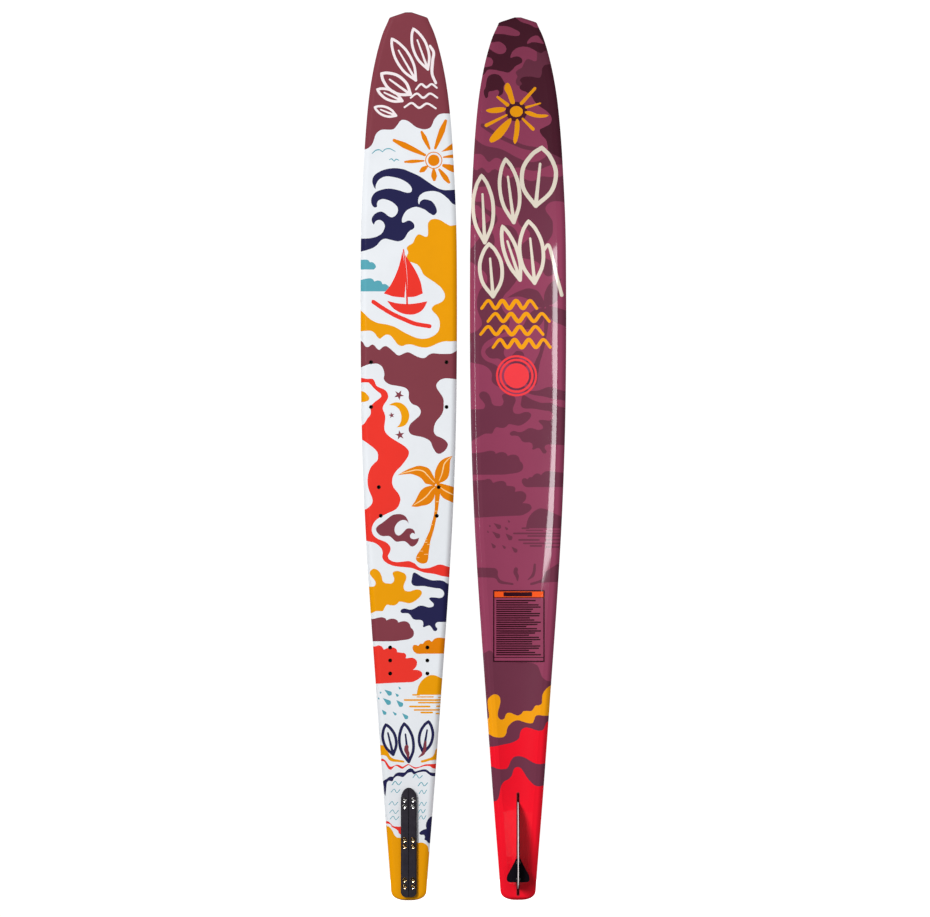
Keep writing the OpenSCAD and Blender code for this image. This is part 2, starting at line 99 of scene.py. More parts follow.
def half_width(s):
    """Half the ski's width at a distance s from the tail."""
    s = np.asarray(s, float)
    along = np.clip(s, 0, STATIONS[-1])
    i = np.clip(np.searchsorted(STATIONS, along, side="right") - 1, 0, len(STATIONS) - 2)
    d = STATIONS[i + 1] - STATIONS[i]
    t = (along - STATIONS[i]) / d
    side = ((2 * t**3 - 3 * t**2 + 1) * HALF_WIDTHS[i] + (t**3 - 2 * t**2 + t) * d * SLOPES[i]
            + (3 * t**2 - 2 * t**3) * HALF_WIDTHS[i + 1] + (t**3 - t**2) * d * SLOPES[i + 1])
    tail = (1 - np.clip((TAIL_ROUND - s) / TAIL_ROUND, 0, 1)**TAIL_POWER)**(1 / TAIL_POWER)
    a = side * tail + np.maximum(0, s - STATIONS[-1]) * TIP_SLOPE
    b = TIP_FLAT + (SKI_LEN - s) * (TIP_HALF - TIP_FLAT) / TIP_EDGE
    k = np.maximum(TIP_CORNER - np.abs(a - b), 0) / TIP_CORNER
    return np.maximum(NARROWEST, np.minimum(a, b) - k * k * TIP_CORNER / 4)


def rocker(s):
    """Height of the base's edge line above the flat running base."""
    tip = TIP_ROCKER * np.clip((s - TIP_ROCKER_S) / (SKI_LEN - TIP_ROCKER_S), 0, 1)**2
    tail = TAIL_ROCKER * np.clip((TAIL_ROCKER_S - s) / TAIL_ROCKER_S, 0, 1)**2
    return tip + tail


def thickness(s):
    rise = np.clip((s - DECK_ROCKER_S) / (SKI_LEN - DECK_ROCKER_S), 0, 1)**2
    return DECK_H + (TIP_ROCKER + TIP_T - DECK_H) * rise - rocker(s)


def edge_gap(u, w, s):
    return np.minimum(w - np.abs(u), np.minimum(s, SKI_LEN - s) * END_BEVEL_RATE)


def deck_height(u, s):
    w = half_width(s)
    fade = np.maximum(1 - edge_gap(u, w, s) / np.minimum(DECK_BEVEL, DECK_BEVEL_SHARE * w), 0)**2
    return rocker(s) + thickness(s) * (1 - DECK_DROP_SHARE * fade)


def tunnel_edge(s):
    w = half_width(s)
    return np.maximum(w - BASE_RIM, TUNNEL_W_SHARE * w)


def base_height(u, s, in_tunnel=None):
    """Height of the base. The tunnel's formula is used where in_tunnel is true, whichever side of
    the tunnel's edge the point is on, so that slopes can be measured on the edge itself."""
    w, rim = half_width(s), tunnel_edge(s)
    if in_tunnel is None:
        in_tunnel = np.abs(u) < rim
    end = np.clip(np.minimum(s, SKI_LEN - s) / TUNNEL_FADE, 0, 1)
    tunnel = np.where(in_tunnel, TUNNEL_SHARE * end * (1 - (u / rim)**2), 0)
    bevel = BASE_RISE_SHARE * np.maximum(1 - edge_gap(u, w, s) / BASE_BEVEL, 0)
    return rocker(s) + thickness(s) * (tunnel + bevel)


def parting_height(s):
    w = half_width(s)
    return (deck_height(w, s) + base_height(w, s)) / 2


def place(ski, p):
    """Points of a ski, as rows of across, height and distance, in the frame and in metres."""
    u, h, s = p.T
    across, away = (u, DECK_H - h) if ski == "a" else (PAIR_SPACING - u, h)
    return np.stack([across, away, s - ORIGIN_S], axis=-1) * MM


def turned(ski, n):
    """Directions of a ski in the frame."""
    return n * ([1, -1, 1] if ski == "a" else [-1, 1, 1])


# ---------------------------------------------------------------- outlines

STEP = 2.5                   # distance between the points of a drawn curve


def smooth(points, closed=True):
    """A curve through the points. A point given twice is a sharp corner."""
    p = np.array(points, float)
    n = len(p)
    out = []
    for i in range(n if closed else n - 1):
        a, b = p[i], p[(i + 1) % n]
        before = p[i - 1] if closed or i else a
        after = p[(i + 2) % n] if closed or i + 2 < n else b
        length = np.linalg.norm(b - a)
        if length < 1e-6:
            continue
        m0 = (b - before) * length / (length + np.linalg.norm(a - before))
        m1 = (after - a) * length / (length + np.linalg.norm(after - b))
        t = np.linspace(0, 1, max(2, int(length / STEP) + 1), endpoint=False)[:, None]
        out.append((2 * t**3 - 3 * t**2 + 1) * a + (t**3 - 2 * t**2 + t) * m0
                   + (3 * t**2 - 2 * t**3) * b + (t**3 - t**2) * m1)
    if not closed:
        out.append(p[-1:])
    return np.concatenate(out)


def arc(centre, r, start, end, squash=1.0):
    """Points round a centre, between two angles in degrees."""
    n = max(6, int(abs(math.radians(end - start)) * r / 1.2))
    t = np.radians(np.linspace(start, end, n + 1))
    return np.stack([centre[0] + r * np.cos(t), centre[1] + r * squash * np.sin(t)], axis=-1)


def disc(centre, r, squash=1.0):
    return arc(centre, r, 0, 360, squash)[:-1]


def star(centre, r, turn):
    t = np.radians(turn + 36 * np.arange(10))
    reach = np.where(np.arange(10) % 2, 0.4, 1.0) * r
    return np.stack([centre[0] + reach * np.cos(t), centre[1] + reach * np.sin(t)], axis=-1)


def stroke(points, *widths, straight=False):
    """The outline of a brush stroke along the points, whose width runs through the widths given."""
    line = np.array(points, float) if straight else smooth(points, closed=False)
    half = np.interp(np.linspace(0, 1, len(line)), np.linspace(0, 1, len(widths)), widths) / 2
    if len(widths) == 1:
        half = np.full(len(line), widths[0] / 2)
    along = np.gradient(line, axis=0)
    along /= np.linalg.norm(along, axis=1)[:, None]
    out = np.stack([-along[:, 1], along[:, 0]], axis=-1)
    left, right = line + out * half[:, None], line - out * half[:, None]

    def cap(i, sign):
        t = np.radians([36, 72, 108, 144])[:, None]
        return line[i] + half[i] * sign * (out[i] * np.cos(t) + along[i] * np.sin(t))

    return np.concatenate([left, cap(-1, 1), right[::-1], cap(0, -1)])


def ring(centre, r, width):
    return stroke(arc(centre, r, 0, 360), width, straight=True)


def drop(tip, end, width):
    """A drop that is pointed at tip and round at end."""
    a, b = np.array(tip, float), np.array(end, float)
    d = b - a
    out = np.array([-d[1], d[0]]) / np.linalg.norm(d) * width / 2
    return smooth([a, a, a + 0.5 * d + 0.7 * out, a + 0.8 * d + out, b, a + 0.8 * d - out,
                   a + 0.5 * d - 0.7 * out])


def leaf(root, tip, half, width):
    """A leaf drawn as a line: its outline and a short midrib."""
    a, b = np.array(root, float), np.array(tip, float)
    d = b - a
    out = np.array([-d[1], d[0]]) / np.linalg.norm(d) * half
    outline = [a, a + 0.28 * d + 0.85 * out, a + 0.6 * d + out, a + 0.86 * d + 0.55 * out, b, b,
               a + 0.86 * d - 0.55 * out, a + 0.6 * d - out, a + 0.28 * d - 0.85 * out, a]
    return [stroke(outline, width), stroke([a, a + 0.35 * d, a + 0.72 * d], width, 0.6 * width)]


def leaves(*each):
    return [line for one in each for line in leaf(*one)]


def wave(left, right, s, rise, width):
    """A wave line with four crests."""
    t = np.linspace(0, 1, 9)
    points = np.stack([left + (right - left) * t, s + rise * (np.arange(9) % 2 - 0.5)], axis=-1)
    return stroke(points, 0.7 * width, width, 0.7 * width)


def moved(outline, ds):
    return outline + np.array([0.0, ds])


def painted(*layers):
    """Pairs of an ink and a shape, in printing order. A layer is an ink and then its shapes."""
    return [(ink, shape) for ink, *shapes in layers for shape in shapes]


# ---------------------------------------------------------------- artwork on the deck

EDGE = 100.0                 # past the ski's edge


def past_left(*distances):
    """Sharp corners past the left edge, at distances from the tail."""
    return [(-EDGE, s) for s in distances for _ in (0, 1)]


def past_right(*distances):
    return [(EDGE, s) for s in distances for _ in (0, 1)]


TIP_FIELD = smooth([
    *past_left(1720, 1440), (-80, 1443), (-70, 1452), (-62, 1472), (-52, 1479), (-30, 1480),
    (-22, 1488), (-15, 1497), (-8, 1498), (0, 1495), (15, 1484), (30, 1480), (42, 1484), (50, 1500),
    (60, 1509), (78, 1510), *past_right(1510, 1720)])
WAVES = smooth([
    (-64, 1366), (-70, 1380), (-66, 1392), (-50, 1402), (-30, 1406), (-10, 1404), (0, 1400), (20, 1391),
    (35, 1381), (50, 1371), (60, 1366), (72, 1364), *past_right(1366, 1336), (86, 1337), (75, 1348),
    (62, 1358), (50, 1362), (40, 1362), (28, 1359), (20, 1352), (18, 1342), (20, 1337), (22, 1342),
    (28, 1346), (35, 1346), (45, 1342), (52, 1332), (54, 1325), (53, 1320), (48, 1316), (40, 1320),
    (30, 1327), (15, 1332), (5, 1330), (-5, 1324), (-12, 1312), (-13, 1303), (-10, 1302), (0, 1306),
    (8, 1302), (11, 1295), (9, 1290), (3, 1287), (-2, 1282), (-8, 1272), (-15, 1267), (-22, 1266),
    (-35, 1269), (-45, 1271), (-53, 1268), (-62, 1258), (-72, 1252), *past_left(1244, 1271),
    (-75, 1272), (-62, 1275), (-52, 1281), (-47, 1290), (-46, 1297), (-50, 1304), (-57, 1307),
    (-64, 1304), (-67, 1298), (-71, 1305), (-70, 1312), (-63, 1320), (-53, 1323), (-46, 1320),
    (-40, 1315), (-33, 1312), (-26, 1315), (-21, 1323), (-22, 1332), (-30, 1340), (-40, 1345),
    (-50, 1347), (-58, 1344), (-61, 1338), (-61, 1332), (-66, 1331), (-71, 1337), (-72, 1347),
    (-66, 1358), (-55, 1364), (-38, 1367), (-20, 1364), (-8, 1360), (0, 1359), (5, 1361), (6, 1367),
    (0, 1376), (-15, 1385), (-30, 1389), (-45, 1390), (-57, 1384), (-63, 1374)])
SHORE = smooth([
    *past_right(1299), (88, 1297), (80, 1296), (70, 1301), (60, 1307), (50, 1309), (42, 1307),
    (37, 1300), (37, 1285), (36, 1276), (31, 1275), (25, 1278), (18, 1279), (12, 1272), (8, 1263),
    (0, 1258), (-4, 1253), (-1, 1245), (-4, 1237), (-2, 1229), (8, 1225), (17, 1221), (23, 1213),
    (28, 1203), (35, 1197), (50, 1187), (62, 1177), (69, 1165), (68, 1155), (60, 1148), (50, 1144),
    (44, 1137), (47, 1131), (54, 1124), (59, 1114), (59, 1100), (55, 1091), (46, 1084), (36, 1080),
    (25, 1079), (14, 1081), (2, 1086), (-10, 1092), (-20, 1098), (-30, 1103), (-45, 1107), (-58, 1109),
    (-68, 1113), (-78, 1120), (-88, 1130), *past_left(1140, 1092), (-86, 1094), (-72, 1094),
    (-65, 1089), (-60, 1082), (-55, 1079), (-50, 1083), (-43, 1087), (-35, 1085), (-28, 1077),
    (-21, 1068), (-13, 1065), (-4, 1068), (5, 1068), (18, 1064), (30, 1062), (42, 1064), (55, 1070),
    (68, 1074), (80, 1074), *past_right(1075)])
BAND = smooth([
    *past_left(1080), (-88, 1072), (-84, 1065), (-79, 1063), (-70, 1068), (-65, 1065), (-60, 1059),
    (-56, 1058), (-50, 1063), (-44, 1065), (-37, 1061), (-28, 1053), (-20, 1047), (-13, 1049),
    (-7, 1052), (0, 1053), (8, 1049), (18, 1044), (26, 1042), (32, 1043), (38, 1048), (46, 1051),
    (60, 1050), (75, 1050), (83, 1051), *past_right(1062, 1000), (75, 1003), (65, 1002), (58, 998),
    (53, 991), (54, 984), (60, 975), (66, 965), (67, 955), (66, 940), (60, 929), (54, 922), (50, 915),
    (48, 905), (49, 898), (53, 893), (62, 889), (70, 884), (75, 877), (73, 869), (68, 863), (62, 859),
    (57, 858), (52, 861), (48, 867), (45, 873), (42, 881), (36, 886), (26, 890), (12, 893), (4, 896),
    (0, 902), (0, 908), (3, 915), (9, 921), (16, 927), (21, 932), (23, 939), (21, 945), (16, 950),
    (8, 953), (3, 958), (0, 965), (0, 975), (-3, 982), (-10, 986), (-25, 989), (-35, 991), (-43, 995),
    (-48, 1002), (-47, 1010), (-48, 1018), (-52, 1026), (-60, 1031), (-70, 1031), (-80, 1029),
    *past_left(1020)])
RIVER = smooth([
    *past_left(1006), (-80, 1002), (-70, 1002), (-66, 998), (-62, 989), (-55, 985), (-48, 982),
    (-43, 978), (-40, 972), (-40, 965), (-44, 958), (-49, 950), (-50, 944), (-47, 937), (-45, 928),
    (-46, 918), (-47, 908), (-45, 900), (-38, 892), (-28, 885), (-18, 879), (-10, 874), (-4, 869),
    (0, 863), (0, 857), (-3, 850), (-8, 843), (-16, 833), (-24, 825), (-30, 815), (-32, 804),
    (-30, 795), (-25, 788), (-19, 780), (-16, 772), (-17, 765), (-20, 757), (-27, 750), (-38, 745),
    (-50, 739), (-60, 733), (-66, 727), (-70, 719), (-71, 710), (-68, 702), (-60, 695), (-50, 691),
    (-42, 687), (-36, 680), (-35, 674), (-37, 668), (-40, 662), (-38, 656), (-32, 652), (-24, 650),
    (-10, 651), (0, 652), (6, 650), (12, 647), (18, 641), (24, 638), (32, 638), (40, 639), (48, 642),
    (56, 645), (64, 645), (70, 643), *past_right(634, 618), (65, 623), (50, 627), (30, 630), (18, 634),
    (8, 638), (-5, 640), (-18, 641), (-30, 643), (-40, 647), (-48, 653), (-51, 660), (-50, 668),
    (-52, 675), (-58, 682), (-66, 687), (-78, 690), *past_left(694, 745), (-82, 752), (-75, 757),
    (-70, 764), (-70, 772), (-73, 780), (-77, 790), (-79, 800), (-79, 812), (-77, 822), (-73, 832),
    (-66, 840), (-60, 846), (-59, 853), (-60, 860), (-65, 867), (-75, 875), (-86, 883),
    *past_left(892, 906), (-86, 916), (-80, 925), (-74, 933), (-73, 941), (-74, 948), (-66, 957),
    (-58, 963), (-53, 968), (-54, 973), (-60, 978), (-67, 984), (-73, 991), (-78, 995), *past_left(994)])
CURLED_WAVE = smooth([
    (-63, 712), (-60, 719), (-50, 726), (-40, 734), (-32, 740), (-24, 742), (-15, 742), (-8, 739),
    (-3, 733), (0, 724), (0, 724), (-4, 729), (-10, 731), (-17, 729), (-23, 724), (-27, 716),
    (-27, 708), (-24, 703), (-20, 701), (-15, 703), (-9, 709), (-4, 714), (2, 715), (8, 713), (11, 709),
    (12, 704), (12, 704), (10, 705), (7, 706), (4, 704), (2, 700), (4, 696), (9, 694), (15, 695),
    (20, 697), (20, 697), (18, 690), (14, 684), (8, 680), (3, 681), (-2, 686), (-8, 690), (-15, 690),
    (-22, 689), (-27, 691), (-32, 696), (-38, 700), (-50, 700), (-57, 703)])
GOLD_SPLAT = smooth([
    *past_left(603), (-68, 603), (-64, 607), (-64, 612), (-68, 618), (-73, 624), (-75, 629), (-73, 634),
    (-68, 637), (-62, 636), (-56, 631), (-52, 622), (-50, 614), (-46, 610), (-40, 609), (-33, 609),
    (-29, 613), (-28, 618), (-30, 624), (-31, 629), (-28, 632), (-22, 633), (-14, 631), (-8, 628),
    (-5, 623), (-5, 617), (-8, 610), (-10, 603), (-8, 596), (-3, 594), (3, 594), (12, 597), (20, 597),
    (25, 593), (24, 587), (18, 580), (8, 573), (0, 571), (-10, 573), (-18, 574), (-22, 570), (-27, 567),
    (-35, 567), (-42, 568), (-46, 563), (-50, 556), (-57, 556), (-65, 555), *past_left(535)])
NAVY_SPLAT = smooth([
    *past_right(604), (74, 609), (68, 613), (60, 615), (45, 615), (35, 618), (25, 622), (17, 627),
    (11, 630), (8, 628), (6, 618), (5, 611), (8, 606), (14, 604), (28, 604), (40, 602), (52, 600),
    (60, 599), (66, 595), (68, 590), (66, 584), (60, 581), (50, 582), (42, 582), (39, 580), (42, 576),
    (47, 571), (48, 567), (45, 564), (38, 563), (28, 566), (20, 566), (13, 562), (6, 559), (0, 559),
    (-8, 561), (-14, 559), (-16, 555), (-13, 552), (-6, 552), (0, 551), (4, 547), (8, 541), (14, 539),
    (22, 539), (27, 536), (28, 530), (27, 526), (30, 525), (34, 527), (40, 528), (44, 524), (48, 518),
    (53, 518), (55, 522), (52, 526), (51, 530), (54, 534), (60, 535), *past_right(533)])
MAROON_CLOUD = smooth([
    *past_left(538), (-68, 541), (-60, 543), (-52, 544), (-45, 542), (-43, 538), (-43, 538), (-36, 541),
    (-28, 541), (-22, 538), (-20, 534), (-20, 534), (-14, 536), (-5, 536), (1, 532), (4, 524), (4, 524),
    (8, 520), (10, 514), (8, 507), (0, 502), (-12, 500), (-30, 498), *past_left(498)])
ORANGE_CLOUD = smooth([
    *past_right(500), (67, 504), (58, 505), (50, 503), (44, 497), (44, 497), (40, 500), (35, 500),
    (30, 497), (27, 493), (27, 493), (22, 493), (18, 489), (18, 489), (14, 491), (9, 490), (7, 485),
    (10, 478), (16, 474), (30, 474), *past_right(474)])
RED_CLOUD = smooth([
    *past_left(486), (-65, 488), (-58, 490), (-52, 488), (-48, 482), (-48, 482), (-40, 485), (-30, 486),
    (-24, 483), (-22, 477), (-22, 477), (-14, 476), (-8, 475), (-5, 471), (-6, 465), (-6, 465),
    (0, 466), (8, 466), (14, 462), (16, 457), (14, 449), (8, 443), (8, 443), (14, 443), (22, 441),
    (26, 436), (25, 431), (18, 425), (8, 420), (-5, 419), (-30, 418), *past_left(414)])
HALF_SUN = smooth([
    (15, 395), (15, 395), (18, 410), (24, 421), (33, 429), (42, 433), (52, 432), (62, 427),
    *past_right(410, 395)])
SUN_STRIPES = [stroke([(u0, s), (u1, s)], w) for u0, u1, s, w in (
    (8, 20, 395, 3), (16, 47, 391, 2.2), (57, EDGE, 390, 2), (-8, EDGE, 385, 3.4), (19, EDGE, 380, 3),
    (2, 40, 372.5, 3.4), (54, EDGE, 373, 3), (11, EDGE, 366, 3), (24, 45, 361, 3.4), (53, EDGE, 359, 3))]
DROPS = [drop(*d) for d in (
    ((-47, 405), (-33, 395), 9), ((-50, 389), (-35, 377), 9.5), ((-24, 385), (-12, 373), 9.5),
    ((-52, 367), (-44, 357), 7), ((-31, 363), (-24, 356), 5), ((-13, 360), (-2, 349), 8),
    ((-20, 411), (-16, 406), 4), ((-56, 401), (-53, 398), 4), ((-26, 398), (-20, 392), 5),
    ((-59, 391), (-57, 386), 3))]
MAROON_STROKES = [stroke([(-4, 295), (-5, 289), (-2, 282), (-1, 273)], 8, 8, 7, 2),
                  stroke([(32, 304), (31, 292), (28, 283), (19, 275)], 4.5, 5.5, 6, 1.5)]
LEFT_SPLASH = smooth([
    *past_left(299), (-54, 298), (-44, 297), (-39, 292), (-39, 284), (-35, 276), (-28, 272), (-18, 270),
    (-9, 268), (-9, 265), (-20, 266), (-32, 267), (-38, 270), (-43, 277), (-50, 279), *past_left(280)])
RIGHT_SPLASH = smooth([
    *past_right(320), (52, 290), (50, 284), (46, 277), (38, 273), (28, 270), (23, 268), (24, 265),
    (32, 266), (42, 269), *past_right(272)])
RED_RIBBON = smooth([
    *past_left(272), (-52, 272), (-46, 270), (-41, 264), (-37, 258), (-33, 257), (-28, 259), (-23, 261),
    (-18, 260), (-12, 257), (-6, 260), (-1, 262), (5, 259), (12, 256), (20, 257), (30, 261), (40, 262),
    *past_right(263, 250), (50, 253), (46, 254), (40, 258), (30, 258), (20, 255), (12, 253), (6, 256),
    (0, 260), (-6, 257), (-12, 253), (-18, 255), (-25, 259), (-30, 255), (-34, 251), (-39, 253),
    (-44, 261), (-48, 267), *past_left(268)])
NAVY_RIBBON = smooth([
    (-49, 229), (-42, 234), (-36, 238), (-30, 238), (-26, 243), (-20, 246), (-8, 246), (-3, 251),
    (3, 254), (8, 252), (12, 248), (20, 250), (28, 252), (35, 251), (42, 246), *past_right(240, 236),
    (44, 239), (38, 243), (32, 247), (24, 247), (16, 245), (10, 242), (6, 246), (2, 246), (-3, 244),
    (-8, 239), (-12, 237), (-22, 239), (-28, 235), (-32, 229), (-38, 230), (-42, 226), (-43, 218),
    (-44, 208), (-45, 201), (-47, 205), (-48, 218)])
RED_WISP = smooth([
    *past_left(152), (-42, 152), (-38, 151), (-34, 147), (-30, 143), (-24, 142), (-14, 142), (-14, 142),
    (-14, 126), (-14, 126), (-19, 129), (-21, 134), (-26, 138), (-32, 141), (-37, 147), *past_left(149)])
NAVY_FLAME = smooth([
    *past_right(168), (43, 161), (38, 157), (34, 150), (33, 142), (34, 138), (28, 136), (22, 132),
    (20, 129), (23, 126), (29, 126), (31, 122), (30, 117), (34, 115), (38, 110), *past_right(104)])
TAIL_FIELD = smooth([
    *past_left(145), (-42, 143), (-36, 140), (-31, 133), (-27, 125), (-22, 121), (-14, 120), (0, 115),
    (15, 111), (26, 111), (33, 108), (37, 102), (40, 92), *past_right(92, -20), *past_left(-20)])
LEAVES = [smooth(points) for points in (
    [(52, 804), (45, 820), (38, 830), (28, 834), (18, 835), (8, 832), (0, 829), (-10, 824), (-21, 817),
     (-21, 817), (-5, 819), (5, 819), (15, 816), (24, 811), (28, 806), (32, 801), (40, 799), (50, 797)],
    [(52, 800), (50, 820), (54, 833), (60, 843), (70, 850), (84, 854), (84, 854), (80, 846), (79, 835),
     (78, 822), (75, 812), (69, 806), (60, 802)],
    [(50, 797), (38, 796), (30, 793), (22, 786), (17, 777), (12, 767), (5, 757), (5, 757), (15, 756),
     (25, 758), (35, 760), (42, 764), (48, 772), (50, 780), (54, 794)],
    [(54, 801), (70, 799), *past_right(790, 758), (78, 767), (68, 772), (62, 778), (56, 790)])]
TRUNK = smooth([
    (55, 800), (51, 790), (50, 770), (50, 755), (48, 740), (44, 725), (40, 710), (34, 697), (28, 683),
    (20, 670), (15, 662), (14, 655), (18, 650), (26, 647), (34, 649), (37, 655), (38, 665), (40, 680),
    (42, 692), (46, 705), (50, 720), (53, 735), (56, 750), (58, 765), (60, 780), (60, 792)])
MIDRIBS = [stroke(points, 1.2, 2.2, 2.2, 1.2) for points in (
    [(-15, 820), (0, 824), (15, 827), (27, 825), (35, 818), (42, 810), (49, 803)],
    [(58, 806), (62, 815), (65, 825), (68, 838), (75, 847), (82, 852)],
    [(10, 760), (20, 766), (30, 773), (38, 781), (43, 788), (50, 794)],
    [(60, 794), (70, 787), (90, 777)])]
BARK = [stroke([(u, s), (u + w, s)], 1.0) for u, s, w in (
    (41, 722, 5), (31, 693, 4), (30, 688, 5), (36, 684, 6), (22, 671, 5), (30, 665, 7), (15, 659, 5),
    (50, 748, 4), (52, 766, 5))]
CRESCENT = smooth([
    (-38, 952), (-38, 952), (-32, 955), (-25, 957), (-16, 956), (-8, 951), (-2, 943), (1, 932),
    (-1, 922), (-6, 914), (-14, 910), (-23, 909), (-23, 909), (-18, 914), (-15, 921), (-14, 930),
    (-16, 938), (-20, 945), (-27, 950)])
SIDE_SUN = smooth([
    *past_left(980), (-86, 977), (-80, 972), (-76, 966), (-78, 960), *past_left(956)])
SUN_RAYS = [stroke([a, b], w, 1.9 * w, 2.3 * w, 1.2 * w) for a, b, w in (
    ((31, 1431), (-28, 1459), 5), ((40, 1443), (25, 1475), 4), ((51, 1444), (71, 1496), 5),
    ((67, 1427), (95, 1430), 3), ((67, 1411), (95, 1402), 6), ((59, 1403), (77, 1379), 4.5),
    ((48, 1403), (49, 1384), 5), ((35, 1409), (23, 1400), 4.5), ((29, 1420), (-7, 1418), 3))]
SUN_RAYS.append(smooth([(62, 1437), (62, 1437), *past_right(1466, 1444)]))
CLOUDS = [smooth(points) for points in (
    [*past_left(1230), (-84, 1231), (-78, 1230), (-75, 1226), (-75, 1226), (-70, 1226), (-65, 1222),
     (-63, 1217), (-67, 1212), (-67, 1212), *past_left(1212)],
    [*past_left(1190), (-78, 1195), (-70, 1194), (-66, 1189), (-66, 1189), (-60, 1191), (-53, 1189),
     (-51, 1184), (-51, 1184), (-45, 1184), (-39, 1180), (-35, 1174), (-38, 1170), (-38, 1170),
     *past_left(1170)])]
GULLS = [stroke(points, 1.4, 2.2, 1.4) for points in (
    [(-70, 1434), (-63, 1440), (-56, 1441), (-50, 1437)],
    [(-50, 1437), (-45, 1442), (-36, 1443), (-26, 1438)],
    [(-37, 1422), (-33, 1424), (-28, 1419)], [(-28, 1419), (-24, 1423), (-19, 1421)])]

# A sailboat heels over its board, and a broad wake runs below it
SAILBOAT = [
    smooth([(-12, 1247), (-12, 1247), (-20, 1215), (-34, 1184), (-48, 1166), (-48, 1166), (-28, 1160),
            (-8, 1158), (-8, 1158), (-6, 1200)]),
    smooth([(-7, 1240), (-7, 1240), (10, 1215), (22, 1190), (27, 1166), (27, 1166), (12, 1160),
            (-2, 1159), (-2, 1159), (-3, 1200)]),
    stroke([(-10, 1250), (-5, 1200), (-3, 1140)], 2.5, 3.5),
    smooth([(-42, 1152), (-42, 1152), (-20, 1147), (5, 1146), (36, 1151), (36, 1151), (26, 1134),
            (10, 1126), (-10, 1127), (-28, 1136)])]
WAKE = stroke([(-68, 1150), (-52, 1139), (-30, 1126), (-8, 1116), (12, 1108), (40, 1103)], 8, 8)

# Line drawings that stand where the lettering would be
TIP_LINES = leaves(
    ((14, 1573), (-32, 1652), 13, 5), ((37, 1594), (9, 1671), 13, 5), ((4, 1546), (-52, 1586), 15, 5.5),
    ((-12, 1534), (-60, 1556), 9, 5), ((-24, 1506), (-65, 1522), 8, 4.5))
TIP_LINES.append(stroke([(52, 1568), (45, 1586), (46, 1610), (48, 1626), (41, 1638)], 5, 6, 5))
TIP_LINES += [stroke(points, 3.5, 4.5, 3.5) for points in (
    [(14, 1556), (24, 1566), (34, 1560), (44, 1566), (54, 1559)],
    [(4, 1540), (16, 1548), (28, 1540), (41, 1548), (55, 1540)],
    [(-8, 1522), (6, 1530), (20, 1521), (35, 1529), (52, 1520)])]
BEACH_LINES = leaves(((-30, 280), (-44, 338), 12, 5.5), ((0, 266), (-9, 340), 13, 5.5),
                     ((28, 284), (38, 344), 12.5, 5.5))
TEAL_LINES = [stroke([(u, s), (u + 6, s + 6), (u + 11, s - 1), (u + 17, s + 5)], 1.3)
              for u, s in ((-38, 184), (-37, 168), (-36, 156), (-34, 208))]
TEAL_LINES += [stroke([(u, s), (u + 5, s + 7), (u + 9, s), (u + 14, s + 7)], 1.3)
               for u, s in ((20, 182), (18, 168), (19, 156), (20, 205))]
TEAL_LINES += [stroke(points, 1.6) for points in (
    [(-32, 222), (-26, 229), (-20, 222), (-14, 228)], [(8, 236), (14, 242), (20, 235), (26, 240)],
    [(18, 220), (24, 227), (30, 220), (36, 226)])]

DECK_ART = painted(
    ("maroon", TIP_FIELD), ("blush", *TIP_LINES),
    ("orange", *SUN_RAYS, disc((48, 1421), 11), ring((48, 1421), 15.5, 1.8)), ("teal", *GULLS),
    ("navy", WAVES), ("gold", SHORE), ("teal", *CLOUDS), ("red", *SAILBOAT, WAKE),
    ("maroon", BAND), ("red", RIVER), ("gold", SIDE_SUN, CRESCENT),
    ("maroon", star((-19, 971), 10, 62), star((-33, 932), 6, 30), star((-17, 894), 9.5, 100)),
    ("orange", *LEAVES, TRUNK), ("sand", *MIDRIBS, *BARK),
    ("maroon", CURLED_WAVE), ("gold", GOLD_SPLAT), ("navy", NAVY_SPLAT),
    ("maroon", MAROON_CLOUD), ("orange", ORANGE_CLOUD), ("red", RED_CLOUD),
    ("gold", HALF_SUN, *SUN_STRIPES), ("teal", *DROPS), ("gold", LEFT_SPLASH, RIGHT_SPLASH),
    ("navy", NAVY_RIBBON), ("red", RED_RIBBON), ("navy", *BEACH_LINES), ("maroon", *MAROON_STROKES),
    ("teal", *TEAL_LINES), ("red", RED_WISP), ("gold", TAIL_FIELD), ("navy", NAVY_FLAME))

# ---------------------------------------------------------------- artwork on the base
# The base repeats the deck's shapes further forward, tone on tone. Its outlines are drawn as the base
# is seen, so across is turned round when they go on the ski.

BASE_SHIFT = 341             # how far forward most of the deck's shapes are repeated
SKY_SHIFT = 320              # and the clouds, the half sun and the drops
TIP_SHADES = [smooth(points) for points in (
    [*past_left(1720, 1585), (-66, 1590), (-58, 1599), (-45, 1599), (-30, 1596), (-18, 1594),
     (-10, 1600), (-5, 1606), (2, 1610), (8, 1614), (8, 1620), (2, 1625), (-6, 1625), (-14, 1623),
     (-12, 1632), (-5, 1640), (5, 1644), (18, 1644), (30, 1639), (38, 1634), (46, 1632), (52, 1636),
     *past_right(1640, 1720)],
    [*past_right(1612), (54, 1609), (47, 1602), (46, 1592), (42, 1584), (25, 1586), (10, 1585),
     (4, 1579), (8, 1572), (3, 1566), (6, 1560), (16, 1556), (26, 1549), (32, 1538), (42, 1528),
     (56, 1518), (65, 1505), (62, 1494), (50, 1487), (42, 1482), (46, 1472), (54, 1463), (57, 1452),
     (60, 1440), *past_right(1420)],
    [(-60, 1580), (-55, 1588), (-45, 1591), (-35, 1588), (-28, 1578), (-25, 1572), (-28, 1566),
     (-28, 1558), (-30, 1552), (-38, 1548), (-36, 1556), (-40, 1560), (-48, 1558), (-56, 1556),
     (-58, 1546), (-62, 1544), (-66, 1556), (-62, 1566)])]
